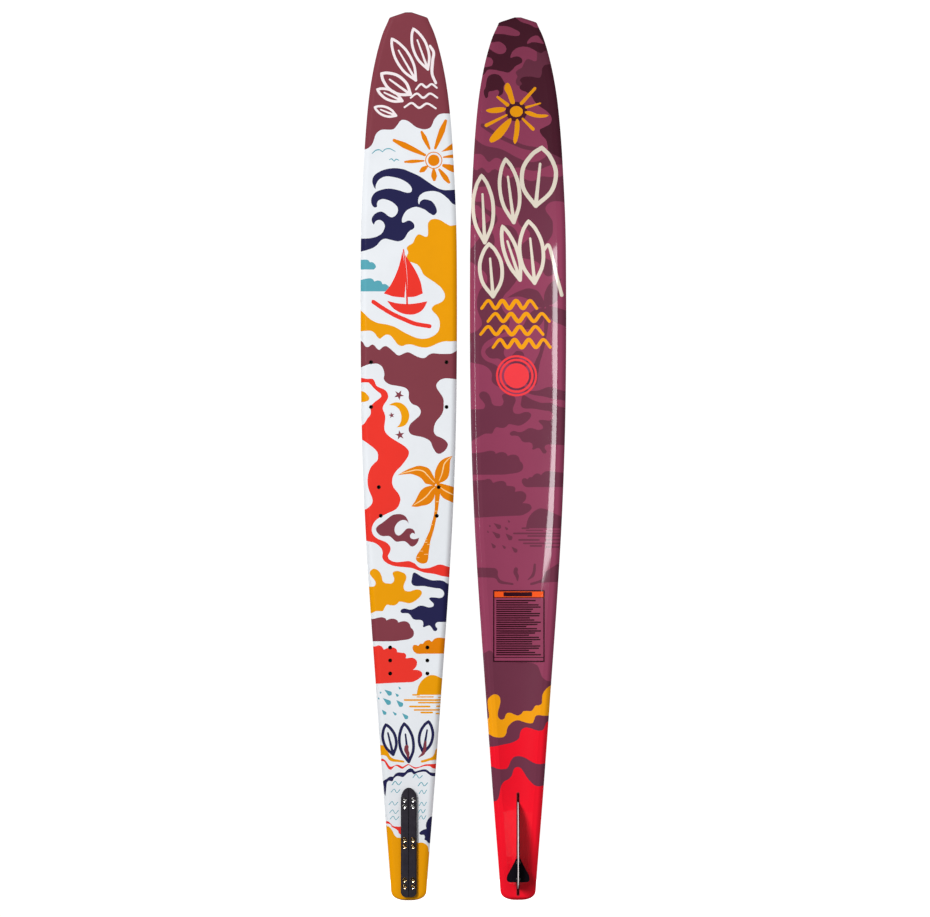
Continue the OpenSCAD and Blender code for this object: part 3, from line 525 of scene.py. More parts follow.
TIP_LIGHTS = [smooth(points) for points in (
    [*past_left(1655), (-48, 1653), (-36, 1654), (-26, 1648), (-22, 1640), (-26, 1632), (-36, 1630),
     (-46, 1634), (-56, 1640), *past_left(1640)],
    [*past_left(1626), (-60, 1624), (-52, 1622), (-48, 1616), (-50, 1608), (-58, 1605), *past_left(1600)],
    [*past_left(1685), (-42, 1685), (-20, 1684), (-5, 1678), (4, 1672), (2, 1666), (-12, 1666),
     (-30, 1669), *past_left(1668)],
    [(18, 1650), (20, 1657), (28, 1664), (38, 1666), (44, 1660), (50, 1650), (40, 1652), (28, 1653)],
    [(-6, 1706), (5, 1694), (22, 1688), (38, 1681), (50, 1690), (20, 1706)])]
MID_SHADE = smooth([
    *past_left(472), (-66, 475), (-56, 480), (-50, 478), (-40, 460), (10, 457), (30, 455), (38, 450),
    (42, 440), (46, 430), (52, 424), (60, 421), *past_right(420, 150), *past_left(150)])
SHADES = ([moved(shape, BASE_SHIFT) for shape in
           (SHORE, BAND, RIVER, CURLED_WAVE, GOLD_SPLAT, NAVY_SPLAT, LEFT_SPLASH, RIGHT_SPLASH,
            SIDE_SUN, CRESCENT, TRUNK, WAKE, *LEAVES, *MAROON_STROKES)]
          + [moved(shape, SKY_SHIFT) for shape in
             (MAROON_CLOUD, ORANGE_CLOUD, RED_CLOUD, HALF_SUN, *SUN_STRIPES, *DROPS)])
PETALS = [smooth(points) for points in (
    [(-6, 1534), (-13, 1533), (-20, 1550), (-26, 1562), (-24, 1571), (-19, 1574), (-14, 1567),
     (-9, 1550)],
    [(-23, 1523), (-28, 1526), (-42, 1526), (-56, 1523), (-62, 1520), (-56, 1516), (-42, 1515),
     (-28, 1518)],
    [(-13, 1505), (-20, 1502), (-36, 1488), (-50, 1472), (-55, 1463), (-53, 1458), (-46, 1459),
     (-32, 1468), (-20, 1484), (-13, 1498)],
    [(-1, 1504), (-5, 1498), (-7, 1478), (-9, 1462), (-6, 1455), (-2, 1460), (2, 1476), (3, 1496)],
    [(13, 1517), (20, 1511), (38, 1506), (54, 1507), (59, 1510), (54, 1512), (38, 1513), (22, 1519)])]
PETALS += [stroke([a, b], w0, w1) for a, b, w0, w1 in (
    ((-39, 1546), (-20, 1531), 5, 7), ((33, 1563), (7, 1534), 5.5, 7), ((43, 1534), (16, 1526), 3, 5),
    ((-61, 1491), (-22, 1511), 7, 4), ((29, 1484), (9, 1504), 7, 4))]
CREAM_LINES = leaves(
    ((-64, 1264), (-70, 1394), 19, 7), ((-8, 1303), (-24, 1426), 18, 7), ((34, 1335), (46, 1448), 32, 8),
    ((-48, 1160), (-56, 1262), 21, 7), ((4, 1192), (-30, 1296), 12, 7), ((32, 1186), (20, 1306), 22, 7))
CREAM_LINES.append(stroke([(84, 1163), (74, 1200), (66, 1236), (58, 1260), (50, 1250)], 7, 6))
GOLD_LINES = [wave(left, right, s, 15, 8) for left, right, s in (
    (-70, 36, 1145), (-58, 60, 1120), (-72, 48, 1095), (-48, 62, 1070))]
RED_RINGS = [ring((-3, 1008), 37.5, 4), ring((-3, 1008), 30.5, 4.5)]
SPLASH = smooth([
    (-58, 386), (-52, 393), (-45, 396), (-38, 394), (-34, 386), (-35, 375), (-38, 365), (-39, 355),
    (-36, 349), (-31, 347), (-26, 350), (-24, 356), (-20, 360), (-14, 360), (-7, 357), (0, 355),
    (6, 358), (10, 363), (16, 364), (26, 364), (30, 369), (33, 374), (40, 375), (45, 378), (46, 386),
    (47, 396), (52, 404), (58, 410), *past_right(436, 355), (50, 355), (38, 356), (33, 353), (31, 347),
    (28, 341), (22, 340), (10, 343), (0, 346), (-8, 344), (-16, 338), (-21, 330), (-23, 320),
    (-28, 314), (-38, 313), (-48, 315), (-56, 319), *past_left(324, 348), (-58, 349), (-56, 356),
    (-58, 370)])
RED_BAND = smooth([
    *past_left(296), (-55, 295), (-45, 296), (-30, 299), (-15, 302), (-5, 306), (2, 312), (4, 322),
    (7, 328), (14, 332), (22, 331), (32, 328), (40, 326), (48, 328), (52, 336), (56, 343),
    *past_right(350, 264), (50, 263), (42, 262), (34, 263), (25, 267), (15, 273), (8, 276), (0, 277),
    (-8, 275), (-14, 268), (-18, 258), (-22, 253), (-30, 252), (-40, 253), (-50, 257), *past_left(262)])
RED_TAIL = smooth([
    *past_left(188), (-47, 190), (-40, 193), (-36, 203), (-34, 215), (-31, 223), (-26, 229), (-18, 233),
    (-12, 240), (-9, 250), (-5, 255), (0, 256), (5, 254), (10, 248), (16, 238), (24, 228), (32, 221),
    (40, 219), (46, 220), *past_right(224, -20), *past_left(-20)])


def panel(left, right, low, high):
    """A framed panel with a coloured header and plain ruled lines."""
    def box(x0, x1, y0, y1):
        return np.array([(x0, y0), (x1, y0), (x1, y1), (x0, y1)], float)

    parts = [("frame", box(left, right, low, high)),
             ("light", box(left + 2.5, right - 2.5, low + 2.5, high - 2.5)),
             ("header", box(left + 2.5, right - 2.5, high - 13.5, high - 2.5)),
             ("frame", box(left + 2.5, right - 2.5, high - 15, high - 13.5)),
             ("frame", box(left + 2.5, right - 2.5, low + 8, low + 9.5)),
             ("frame", smooth(np.repeat(box(left + 20, right - 24, high - 12, high - 4), 2, axis=0)))]
    rows = 26
    for i in range(rows):
        reach = 0.66 + 0.33 * abs(math.sin(2.3 * i + 0.7))
        y = high - 20 - i * (high - low - 34) / (rows - 1)
        parts.append(("frame", box(left + 6, left + 6 + reach * (right - left - 12), y - 1.3, y + 1.3)))
    return parts


BASE_ART = painted(
    ("shade", *SHADES), ("deep", *TIP_SHADES), ("light", *TIP_LIGHTS), ("shade", MID_SHADE),
    ("deep", disc((-3, 1518), 21, 0.9)), ("amber", *PETALS, disc((-3, 1518), 12.5, 0.85)),
    ("cream", *CREAM_LINES), ("amber", *GOLD_LINES), ("rose", *RED_RINGS, disc((-3, 1008), 24)),
    *panel(-48, 51, 458, 596),
    ("amber", SPLASH), ("crimson", RED_BAND, RED_TAIL))

# ---------------------------------------------------------------- colours


def linear(code):
    """An sRGB colour such as "e69100" as linear values."""
    values = [int(code[i:i + 2], 16) / 255 for i in (0, 2, 4)]
    return tuple(v / 12.92 if v <= 0.04045 else ((v + 0.055) / 1.055)**2.4 for v in values)


INKS = {name: linear(code) for name, code in {
    "paper": "e6e9ed", "maroon": "803b46", "blush": "efe4e6", "orange": "e27f00", "teal": "57a3b2",
    "navy": "24234d", "gold": "e99b00", "red": "ea352a", "sand": "fbd193",
    "light": "96405e", "shade": "713449", "deep": "4e1e2e", "amber": "faa40c", "cream": "e8ddcc",
    "rose": "f84048", "crimson": "fa1129", "frame": "300a18", "header": "f85a1c"}.items()}

# ---------------------------------------------------------------- printed skins


def added(name, data):
    """A new object in the scene."""
    thing = bpy.data.objects.new(name, data)
    bpy.context.scene.collection.objects.link(thing)
    return thing


GRID = (6.0, 12.0)           # the mesh's own points, across and along
TIP_RUN, PLAN_STEP = 30.0, 8.0    # how far from the tip the outline's points are finer, and their step
SIDE_ZONE = 6.0              # how near the edge a skin's inside starts to move in
AT_EDGE = 0.3                # how near the outline a point counts as on it


def winding(points, outline):
    """True where a point is inside an outline, which may cross itself."""
    a, b = outline, np.roll(outline, -1, axis=0)
    count = np.zeros(len(points), int)
    low, high = outline.min(axis=0), outline.max(axis=0)
    near = np.nonzero(((points > low) & (points < high)).all(axis=1))[0]
    x, y = points[near, 0], points[near, 1]
    total = np.zeros(len(near), int)
    for (ax, ay), (bx, by) in zip(a, b):
        side = (bx - ax) * (y - ay) - (x - ax) * (by - ay)
        total += ((ay <= y) & (by > y) & (side > 0)).astype(int)
        total -= ((ay > y) & (by <= y) & (side < 0)).astype(int)
    count[near] = total
    return count != 0


def plan_outline(inset=0.0):
    """The ski's outline seen from above, or a line a fixed bevel distance inside it."""
    end = inset / END_BEVEL_RATE
    tail = TAIL_ROUND * (1 - np.cos(np.linspace(0, math.pi / 2, 16)))
    tip = SKI_LEN - TIP_RUN * (1 - np.sin(np.linspace(0, math.pi / 2, 20)))
    s = np.concatenate([tail, np.arange(TAIL_ROUND + 6, SKI_LEN - TIP_RUN - 4, PLAN_STEP), tip])
    s = np.concatenate([[end], s[(s > end + 0.05) & (s < SKI_LEN - end - 0.05)], [SKI_LEN - end]])
    u = half_width(s) - inset
    keep = u > 0.5
    right = np.stack([u[keep], s[keep]], axis=-1)
    return np.concatenate([right, (right * [-1, 1])[::-1]])


def partition(art, holes, insets):
    """Triangles of the ski's plan, cut along the edge of every shape, and each triangle's ink."""
    outline = plan_outline()
    points, edges = [], []
    for loop in [outline] + holes + [plan_outline(d) for d in insets] + [shape for _, shape in art]:
        first = len(points)
        points += [Vector(p) for p in loop]
        edges += [(first + i, first + (i + 1) % len(loop)) for i in range(len(loop))]
    for s in np.arange(GRID[1], SKI_LEN - GRID[1], GRID[1]):
        reach = float(half_width(s)) - max(insets) - GRID[0] / 2
        count = max(2, int(reach / GRID[0]))
        points += [Vector((u, s)) for u in np.linspace(-reach, reach, 2 * count + 1)]
    verts, _, faces, _, _, _ = delaunay_2d_cdt(points, edges, [], 0, 1e-5)
    plan = np.array([v[:] for v in verts])
    faces = np.array([f[:] for f in faces if len(f) == 3])
    middle = plan[faces].mean(axis=1)
    inside = winding(middle, outline)
    for hole in holes:
        inside &= ~winding(middle, hole)
    faces, middle = faces[inside], middle[inside]
    ink = np.full(len(faces), -1)
    for i, (_, shape) in enumerate(art):
        ink[winding(middle, shape)] = i
    return plan, faces, ink


def boundary(faces):
    """The open edges of a set of triangles, as directed pairs, and the triangle that each is on."""
    directed = {}
    for i, f in enumerate(faces):
        for j in range(3):
            directed[(f[j], f[(j + 1) % 3])] = i
    return {e: i for e, i in directed.items() if (e[1], e[0]) not in directed}


def inner(p, drop):
    """Points moved in from the surface by a skin's thickness: drop moves down, and edges move in."""
    u, h, s = p.T
    near = np.clip(1 - (half_width(s) - np.abs(u)) / SIDE_ZONE, 0, 1)
    ends = np.clip(1 - s / SIDE_ZONE, 0, 1) - np.clip(1 - (SKI_LEN - s) / SIDE_ZONE, 0, 1)
    return np.stack([u - np.sign(u) * np.minimum(SKIN_T, np.abs(u)) * near, h - drop,
                     s + SKIN_T * ends], axis=-1)


def surface_normals(height, u, s, extra, e):
    """Normals that point up out of a height surface, measured over a distance e to each side, which
    softens the creases."""
    du = (height(u + e, s, *extra) - height(u - e, s, *extra)) / (2 * e)
    ds = (height(u, s + e, *extra) - height(u, s - e, *extra)) / (2 * e)
    n = np.stack([-du, np.ones_like(du), -ds], axis=-1)
    return n / np.linalg.norm(n, axis=1)[:, None]


def build_skin(name, ski, art, ground, holes, height, insets, soft, is_base):
    """One printed skin: its face, its side down to the parting line, and the same again inside."""
    plan, faces, ink = partition(art, holes, insets)
    used = np.unique(faces)
    index = np.full(len(plan), -1)
    index[used] = np.arange(len(used))
    plan, faces = plan[used], index[faces]
    up = -1 if is_base else 1
    u, s = plan[:, 0] * up, plan[:, 1]
    face = np.stack([u, height(u, s), s], axis=-1)
    open_edges = boundary(faces)
    at_edge = (np.abs(np.abs(u) - half_width(s)) < AT_EDGE) | (np.minimum(s, SKI_LEN - s) < AT_EDGE)
    rim = np.array(sorted({a for e in open_edges for a in e if at_edge[a]}))
    part = parting_height(s[rim])
    rows = [np.stack([u[rim], face[rim, 1] + k * (part - face[rim, 1]), s[rim]], axis=-1)
            for k in (0.5, 1.0)]
    outer = np.concatenate([face] + rows)
    drop = up * SKIN_T * np.concatenate([np.ones(len(face)), np.full(len(rim), 0.5), np.zeros(len(rim))])
    row_of = {a: i for i, a in enumerate(rim)}
    down = [{a: len(face) + k * len(rim) + row_of[a] for a in rim} for k in (0, 1)]

    across = np.zeros((len(face), 3))
    for a, b in open_edges:
        d = plan[b] - plan[a]
        across[[a, b]] += np.array([d[1] * up, 0, -d[0]]) / np.linalg.norm(d)
    across /= np.maximum(np.linalg.norm(across, axis=1), 1e-9)[:, None]

    in_tunnel = np.abs(plan[faces].mean(axis=1)[:, 0]) < tunnel_edge(plan[faces].mean(axis=1)[:, 1])
    corner = faces.ravel()
    extra = (np.repeat(in_tunnel, 3),) if is_base else ()
    polygons, inks = faces.tolist(), list(ink)
    normals = [up * surface_normals(height, u[corner], s[corner], extra, soft)]
    for (a, b), i in open_edges.items():
        if at_edge[a] and at_edge[b]:
            for high, low in (({a: a, b: b}, down[0]), (down[0], down[1])):
                polygons.append([high[b], high[a], low[a], low[b]])
                inks.append(ink[i])
                normals.append(across[[b, a, a, b]])
    normals = np.concatenate(normals)
    count = len(outer)
    flip = [[count + v for v in polygon[::-1]] for polygon in polygons]
    flat, flip_normals = 0, []
    for polygon in polygons:
        flip_normals.append(-normals[flat:flat + len(polygon)][::-1])
        flat += len(polygon)
    walls = []
    for a, b in open_edges:
        low = down[1] if at_edge[a] and at_edge[b] else {a: a, b: b}
        walls.append([low[b], low[a], count + low[a], count + low[b]])
    everything = polygons + flip + walls
    mesh = bpy.data.meshes.new(name)
    points = np.concatenate([outer, inner(outer, drop)])
    mesh.from_pydata(place(ski, points).tolist(), [], everything)
    wall_inks = [ink[i] for i in open_edges.values()]
    colours = [INKS[ground] if i < 0 else INKS[art[i][0]] for i in inks + inks + wall_inks]
    layer = mesh.attributes.new("ink", "FLOAT_COLOR", "FACE")
    layer.data.foreach_set("color", np.array([(*c, 1.0) for c in colours], np.float32).ravel())
    every_normal = np.concatenate([normals] + flip_normals + [np.zeros((4 * len(walls), 3))])
    mesh.polygons.foreach_set("use_smooth", [True] * len(mesh.polygons))
    mesh.normals_split_custom_set(turned(ski, every_normal).tolist())
    return added(name, mesh)


# ---------------------------------------------------------------- fin block screws

SIDES = 24
SCREW_PROFILE = [(0, -SCREW_REACH), (2.0, -SCREW_REACH), (SCREW_SHANK_R, -6.5),
                 (SCREW_SHANK_R, SCREW_SEAT), (3.1, SCREW_SEAT), (SCREW_DOME_R, 5.3),
                 (SCREW_DOME_R, 6.1), (3.2, 6.7), (2.9, 7.2), (2.45, 7.6), (2.0, 7.85), (1.8, 7.95)]
SOCKET_PROFILE = [(SCREW_SOCKET_R, SCREW_TOP), (SCREW_SOCKET_R, 6.4), (0, 6.2)]
WASHER_PROFILE = [(3.4, 5.02), (WASHER_R, 5.02), (WASHER_R, 8.0), (4.5, 8.02), (3.5, 7.25), (3.4, 7.1)]
SHARP = math.radians(38)     # a bend that is left sharp


def turned_rings(centre, profile, hexagon=False):
    """Points of a profile, as radius and height above the deck, turned round a centre."""
    angle = 2 * math.pi * np.arange(SIDES) / SIDES
    shape = math.cos(math.pi / 6) / np.cos(angle % (math.pi / 3) - math.pi / 6) if hexagon else 1.0
    rings = [np.stack([centre[0] + r * shape * np.cos(angle), np.full(SIDES, DECK_H + h),
                       centre[1] + r * shape * np.sin(angle)], axis=-1) for r, h in profile]
    return np.concatenate(rings)


def ring_faces(first, count, closed):
    """Faces between rings of points, and from the last back to the first on a closed section."""
    faces = []
    for i in range(count if closed else count - 1):
        a, b = first + i * SIDES, first + (i + 1) % count * SIDES
        faces += [[a + j, b + j, b + (j + 1) % SIDES, a + (j + 1) % SIDES] for j in range(SIDES)]
    return faces


def build_block_screws(name, ski):
    """The fin block's screws: a shank, a domed head with a hexagon socket, and a cupped washer."""
    points, faces, count = [], [], 0
    for centre in BLOCK_SCREWS:
        points += [turned_rings(centre, SCREW_PROFILE), turned_rings(centre, SOCKET_PROFILE, hexagon=True),
                   turned_rings(centre, WASHER_PROFILE)]
        rings = len(SCREW_PROFILE) + len(SOCKET_PROFILE)
        faces += ring_faces(count, rings, False)
        faces += ring_faces(count + rings * SIDES, len(WASHER_PROFILE), True)
        count += (rings + len(WASHER_PROFILE)) * SIDES
    mesh = bpy.data.meshes.new(name)
    mesh.from_pydata(place(ski, np.concatenate(points)).tolist(), [], faces)
    shape = bmesh.new()
    shape.from_mesh(mesh)
    bmesh.ops.remove_doubles(shape, verts=shape.verts, dist=1e-7)
    bmesh.ops.recalc_face_normals(shape, faces=shape.faces)
    shape.to_mesh(mesh)
    shape.free()
    mesh.polygons.foreach_set("use_smooth", [True] * len(mesh.polygons))
    mesh.set_sharp_from_angle(angle=SHARP)
    return added(name, mesh)


# ---------------------------------------------------------------- materials


class Nodes:
    """A short way to write a material's node tree."""

    def __init__(self, name):
        self.material = bpy.data.materials.new(name)
        self.material.use_nodes = True
        self.tree = self.material.node_tree
        self.shader = self.tree.nodes["Principled BSDF"]
        self.where = self.add("ShaderNodeTexCoord").outputs["Object"]

    def add(self, kind, **settings):
        """A node. A setting with a capital letter is an input's value."""
        node = self.tree.nodes.new(kind)
        for key, value in settings.items():
            if key[0].isupper():
                node.inputs[key.replace("_", " ")].default_value = value
            else:
                setattr(node, key, value)
        return node

    def link(self, source, target):
        self.tree.links.new(source, target)

    def stretched(self, x, y, z):
        node = self.add("ShaderNodeMapping", Scale=(x, y, z))
        self.link(self.where, node.inputs["Vector"])
        return node.outputs["Vector"]

    def height(self):
        node = self.add("ShaderNodeSeparateXYZ")
        self.link(self.where, node.inputs["Vector"])
        return node.outputs["Z"]

    def noise(self, scale, detail=3.0, roughness=0.5, where=None):
        node = self.add("ShaderNodeTexNoise", Scale=scale, Detail=detail, Roughness=roughness)
        self.link(where or self.where, node.inputs["Vector"])
        return node.outputs["Fac"]

    def spread(self, value, low, high, to_low, to_high):
        node = self.add("ShaderNodeMapRange", From_Min=low, From_Max=high, To_Min=to_low,
                        To_Max=to_high)
        self.link(value, node.inputs["Value"])
        return node.outputs["Result"]

    def scaled(self, colour, factor):
        """A colour multiplied by a grey value."""
        node = self.add("ShaderNodeVectorMath", operation="SCALE")
        self.link(colour, node.inputs[0])
        self.link(factor, node.inputs["Scale"])
        return node.outputs["Vector"]

    def colour(self, value, low, high, first, second):
        node = self.add("ShaderNodeValToRGB")
        ends = node.color_ramp.elements
        ends[0].position, ends[1].position = low, high
        ends[0].color, ends[1].color = (*first, 1), (*second, 1)
        self.link(value, node.inputs["Fac"])
        return node.outputs["Color"]

    def bump(self, value, distance, strength=1.0):
        node = self.add("ShaderNodeBump", Distance=distance, Strength=strength)
        self.link(value, node.inputs["Height"])
        self.link(node.outputs["Normal"], self.shader.inputs["Normal"])

    def set(self, **values):
        for key, value in values.items():
            self.shader.inputs[key.replace("_", " ")].default_value = value
        return self


def print_material(name, low_rough, high_rough, coat, coat_rough, tip_painted_shade):
    """Ink under a clear gel coat: the mesh holds the ink, and the print is a little uneven. The colour
    darkens towards the tip, to the share that the last argument gives: painted shade, where the rocker
    turns the tip away from the light."""
    n = Nodes(name)
    n.set(Coat_Weight=coat, Coat_Roughness=coat_rough, Coat_IOR=1.5, Specular_IOR_Level=0.1)
    ink = n.add("ShaderNodeAttribute", attribute_name="ink").outputs["Color"]
    density = n.spread(n.noise(9, 4, 0.6), 0.3, 0.7, 0.965, 1.03)
    grain = n.spread(n.noise(1400, 2, 0.6), 0.25, 0.75, 0.975, 1.02)
    # Painted shade: the colour darkens towards the tip, where the rocker turns the surface away from the
    # light
    deep = n.spread(n.height(), 0.25, 0.71, 1.0, tip_painted_shade)
    n.link(n.scaled(n.scaled(n.scaled(ink, density), grain), deep), n.shader.inputs["Base Color"])
    handling = n.noise(1.0, 6, 0.7, n.stretched(60, 60, 9))
    n.link(n.spread(handling, 0.35, 0.75, low_rough, high_rough), n.shader.inputs["Roughness"])
    n.bump(n.noise(260, 3, 0.55), 0.00006, 0.5)
    return n.material


def metal_material(name, tone, shadow_tone, rough, grain_scale, metallic=1.0, streak=(1, 1, 40)):
    """Metal with a drawn grain, faint stains and slightly uneven roughness."""
    n = Nodes(name)
    n.set(Metallic=metallic, Specular_IOR_Level=0.2)
    grain = n.noise(grain_scale, 4, 0.65, n.stretched(*streak))
    n.link(n.colour(n.noise(85, 5, 0.6), 0.3, 0.75, shadow_tone, tone), n.shader.inputs["Base Color"])
    n.link(n.spread(grain, 0.3, 0.7, rough * 0.75, rough * 1.3), n.shader.inputs["Roughness"])
    n.bump(grain, 0.00003, 0.4)
    return n.material


def screw_material(name, bright, gold_reflection, gold_reflection_below):
    """Polished screws, tinted gold below a height: a painted reflection of the gold print around the lower
    screws.
    """
    n = Nodes(name)
    n.set(Metallic=1.0)
    # Painted reflection: the gold tint on the screws below this height
    tint = n.spread(n.height(), gold_reflection_below, gold_reflection_below + 0.01, 1.0, 0.0)
    stain = n.spread(n.noise(700, 4, 0.6), 0.3, 0.7, 0.86, 1.04)
    n.link(n.scaled(n.colour(tint, 0.0, 1.0, bright, gold_reflection), stain), n.shader.inputs["Base Color"])
    polish = n.noise(1500, 3, 0.6)
    n.link(n.spread(polish, 0.3, 0.7, 0.2, 0.3), n.shader.inputs["Roughness"])
    n.bump(polish, 0.00002, 0.4)
    return n.material


def moulded_material(name, tone, worn_tone, rough, scale):
    """Moulded plastic or foam with a fine stipple."""
    n = Nodes(name)
    stipple = n.noise(scale, 3, 0.6)
    n.link(n.colour(n.noise(scale / 6, 5, 0.6), 0.3, 0.8, tone, worn_tone), n.shader.inputs["Base Color"])
    n.link(n.spread(stipple, 0.3, 0.7, rough * 0.8, rough * 1.2), n.shader.inputs["Roughness"])
    n.bump(stipple, 0.00005, 0.5)
    return n.material


MATERIALS = {
    # The last value is painted shade towards the tip: 1.0 keeps the deck even, 0.66 darkens the base
    "printed_deck": print_material("printed_deck", 0.4, 0.55, 0.12, 0.2, 1.0),
    "printed_base": print_material("printed_base", 0.3, 0.42, 1.0, 0.04, 0.66),
    "foam_core": moulded_material("foam_core", (0.62, 0.5, 0.28), (0.74, 0.64, 0.4), 0.85, 900),
    "slot_liner": moulded_material("slot_liner", (0.3, 0.008, 0.016), (0.36, 0.012, 0.022), 0.4, 700),
    # The inserts' brass is darkened almost to black: painted shade in their deep bores
    "brass_insert": metal_material("brass_insert", (0.06, 0.05, 0.04), (0.02, 0.018, 0.015), 0.4, 500),
    "anodised_block": metal_material("anodised_block", (0.056, 0.05, 0.066), (0.04, 0.035, 0.047),
                                     0.38, 420, metallic=0.5),
    # The gold tint of the lower screws is a painted reflection of the print around them
    "block_screw": screw_material("block_screw", (0.95, 0.94, 0.93), (0.97, 0.74, 0.44), -0.86),
    "stainless_screw": metal_material("stainless_screw", (0.75, 0.73, 0.7), (0.5, 0.48, 0.45), 0.22, 600),
    "fin_alloy": metal_material("fin_alloy", (0.9, 0.8, 0.81), (0.8, 0.72, 0.73), 0.6, 500,
                                metallic=0.0),
    "wing_black": metal_material("wing_black", (0.006, 0.004, 0.008), (0.003, 0.002, 0.005), 0.75, 420,
                                 metallic=0.0),
}
SLOT_OF = {
    "foam_core": "foam_core", "slot_liner": "slot_liner", "front_inserts": "brass_insert",
    "rear_inserts": "brass_insert", "toe_inserts": "brass_insert", "block_inserts": "brass_insert",
    "block_left": "anodised_block", "block_right": "anodised_block",
    "set_screws": "stainless_screw", "fin": "fin_alloy", "wing_left": "wing_black",
    "wing_right": "wing_black", "wing_screws": "stainless_screw", "wing_nuts": "stainless_screw"}

# ---------------------------------------------------------------- pieces


def slot_hole():
    low, high = SLOT_S0 + SLOT_HALF, SLOT_S1 - SLOT_HALF
    return np.concatenate([arc((0, high), SLOT_HALF, 0, 180), arc((0, low), SLOT_HALF, 180, 360)])


DECK_HOLES = ([disc(c, INSERT_HOLE_R) for c in INSERTS] + [disc(c, SCREW_HOLE_R) for c in BLOCK_SCREWS]
              + [slot_hole()])
SKINS = {
    "top_sheet": dict(art=DECK_ART, ground="paper", holes=DECK_HOLES, height=deck_height,
                      insets=(1.2, 3, 5, 7.5, 10.5), soft=0.8, is_base=False),
    "base_shell": dict(art=BASE_ART, ground="light", holes=[slot_hole()], height=base_height,
                       insets=(1.5, 3, 4.5, 6.5, 8.5, 9.5, 10.5, 17), soft=4.0, is_base=True)}
SKIN_SLOT = {"top_sheet": "printed_deck", "base_shell": "printed_base"}

POLISHED = bpy.data.collections.new("polished")
for ski in "ab":
    for part, look in SKINS.items():
        piece = build_skin(f"ski_{ski}_{part}_print", ski, **look)
        piece.data.materials.append(MATERIALS[SKIN_SLOT[part]])
        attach(piece, f"ski_{ski}")
        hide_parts(f"ski_{ski}_{part}")
    screws = build_block_screws(f"ski_{ski}_block_screws_domed", ski)
    screws.data.materials.append(MATERIALS["block_screw"])
    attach(screws, f"ski_{ski}")
    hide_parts(f"ski_{ski}_block_screws")
    POLISHED.objects.link(screws)
    for part, slot in SLOT_OF.items():
        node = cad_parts[f"ski_{ski}_{part}"]
        node.data.materials.clear()
        node.data.materials.append(MATERIALS[slot])

# ---------------------------------------------------------------- stage, light and camera

CAMERA_X, CAMERA_Z = 0.108, -0.142
CAMERA_D = 12.0
FRAME_W = 1.7865             # width of the picture at the skis
SENSOR = 36.0


def build_floor():
    mesh = bpy.data.meshes.new("floor")
    x0, x1, y, z = -0.75, 0.96, 0.6, CAD_BOX[0][2]
    mesh.from_pydata([(x0, -y, z), (x1, -y, z), (x1, y, z), (x0, y, z)], [], [(0, 1, 2, 3)])
    floor = added("floor", mesh)
    n = Nodes("floor")
    n.set(Roughness=0.9, Specular_IOR_Level=0.1)
    tone = n.colour(n.noise(3, 3, 0.5), 0.3, 0.7, (0.88, 0.88, 0.88), (0.9, 0.9, 0.9))
    n.link(tone, n.shader.inputs["Base Color"])
    n.link(tone, n.shader.inputs["Emission Color"])
    n.set(Emission_Strength=0.95)
    floor.data.materials.append(n.material)
    floor.visible_diffuse = floor.visible_glossy = False


def area_light(name, position, target, size, radiance, lean=0.0, mirrored=False, diffuse=True):
    """A rectangular lamp that faces a target. Its reflection is seen only if it is mirrored."""
    lamp = bpy.data.lights.new(name, "AREA")
    lamp.shape = "RECTANGLE"
    lamp.size, lamp.size_y = size
    lamp.energy = radiance * math.pi * size[0] * size[1]
    light = added(name, lamp)
    light.location = position
    light.rotation_euler = (Vector(target) - Vector(position)).to_track_quat("-Z", "Y").to_euler()
    light.rotation_euler.rotate_axis("Z", math.radians(-lean))
    light.visible_camera = False
    light.visible_glossy = mirrored
    light.visible_diffuse = diffuse
    return light


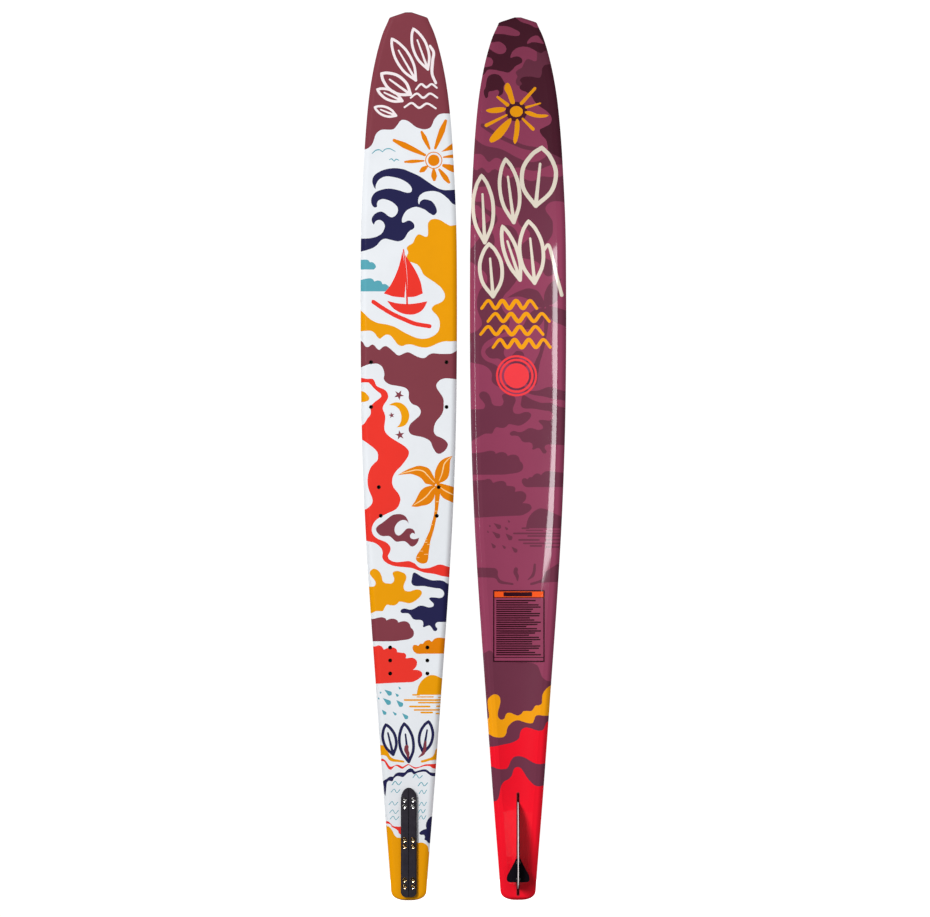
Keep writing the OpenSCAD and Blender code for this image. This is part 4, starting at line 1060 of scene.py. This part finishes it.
def build_world():
    """White behind the object, and a softer grey for what reaches its surfaces."""
    world = bpy.data.worlds.new("studio")
    world.use_nodes = True
    bpy.context.scene.world = world
    nodes, links = world.node_tree.nodes, world.node_tree.links
    seen, light = nodes["Background"], nodes.new("ShaderNodeBackground")
    seen.inputs["Color"].default_value = (1, 1, 1, 1)
    seen.inputs["Strength"].default_value = 1.05
    light.inputs["Color"].default_value = (0.96, 0.98, 1, 1)
    light.inputs["Strength"].default_value = 0.22
    dark = nodes.new("ShaderNodeBackground")
    dark.inputs["Strength"].default_value = 0.05
    path = nodes.new("ShaderNodeLightPath")
    gloss, mix = nodes.new("ShaderNodeMixShader"), nodes.new("ShaderNodeMixShader")
    links.new(path.outputs["Is Glossy Ray"], gloss.inputs["Fac"])
    links.new(light.outputs["Background"], gloss.inputs[1])
    links.new(dark.outputs["Background"], gloss.inputs[2])
    links.new(path.outputs["Is Camera Ray"], mix.inputs["Fac"])
    links.new(gloss.outputs["Shader"], mix.inputs[1])
    links.new(seen.outputs["Background"], mix.inputs[2])
    links.new(mix.outputs["Shader"], nodes["World Output"].inputs["Surface"])


def build_camera():
    data = bpy.data.cameras.new("camera")
    data.sensor_width = SENSOR
    data.lens = SENSOR * CAMERA_D / FRAME_W
    data.clip_end = 60
    camera = added("camera", data)
    camera.location = (CAMERA_X, -CAMERA_D, CAMERA_Z)
    camera.rotation_euler = (math.pi / 2, 0, 0)
    bpy.context.scene.camera = camera


build_floor()
build_world()
build_camera()
area_light("strip", (-1.67, -6.04, 0.61), (0.21, 0, 0), (0.8, 1.92), 11, lean=16, mirrored=True)
area_light("key", (-2.65, -5.7, 1.6), (0.1, 0, 0.1), (1.3, 2.8), 28)
area_light("fill", (3.0, -5.6, 1.5), (0.1, 0, 0.1), (1.6, 3.0), 2.0)
glint = area_light("glint", (-0.5, -2.7, 5.6), (0.1, 0, -0.9), (3.4, 2.8), 34, mirrored=True,
                   diffuse=False)
glint.light_linking.receiver_collection = POLISHED
area_light("back_left", (-3.0, 4.6, 1.2), (0.1, 0, -0.1), (2.4, 3.0), 8)
area_light("back_right", (3.2, 4.6, 1.2), (0.1, 0, -0.1), (2.4, 3.0), 8)
bpy.context.scene.view_settings.view_transform = "Standard"
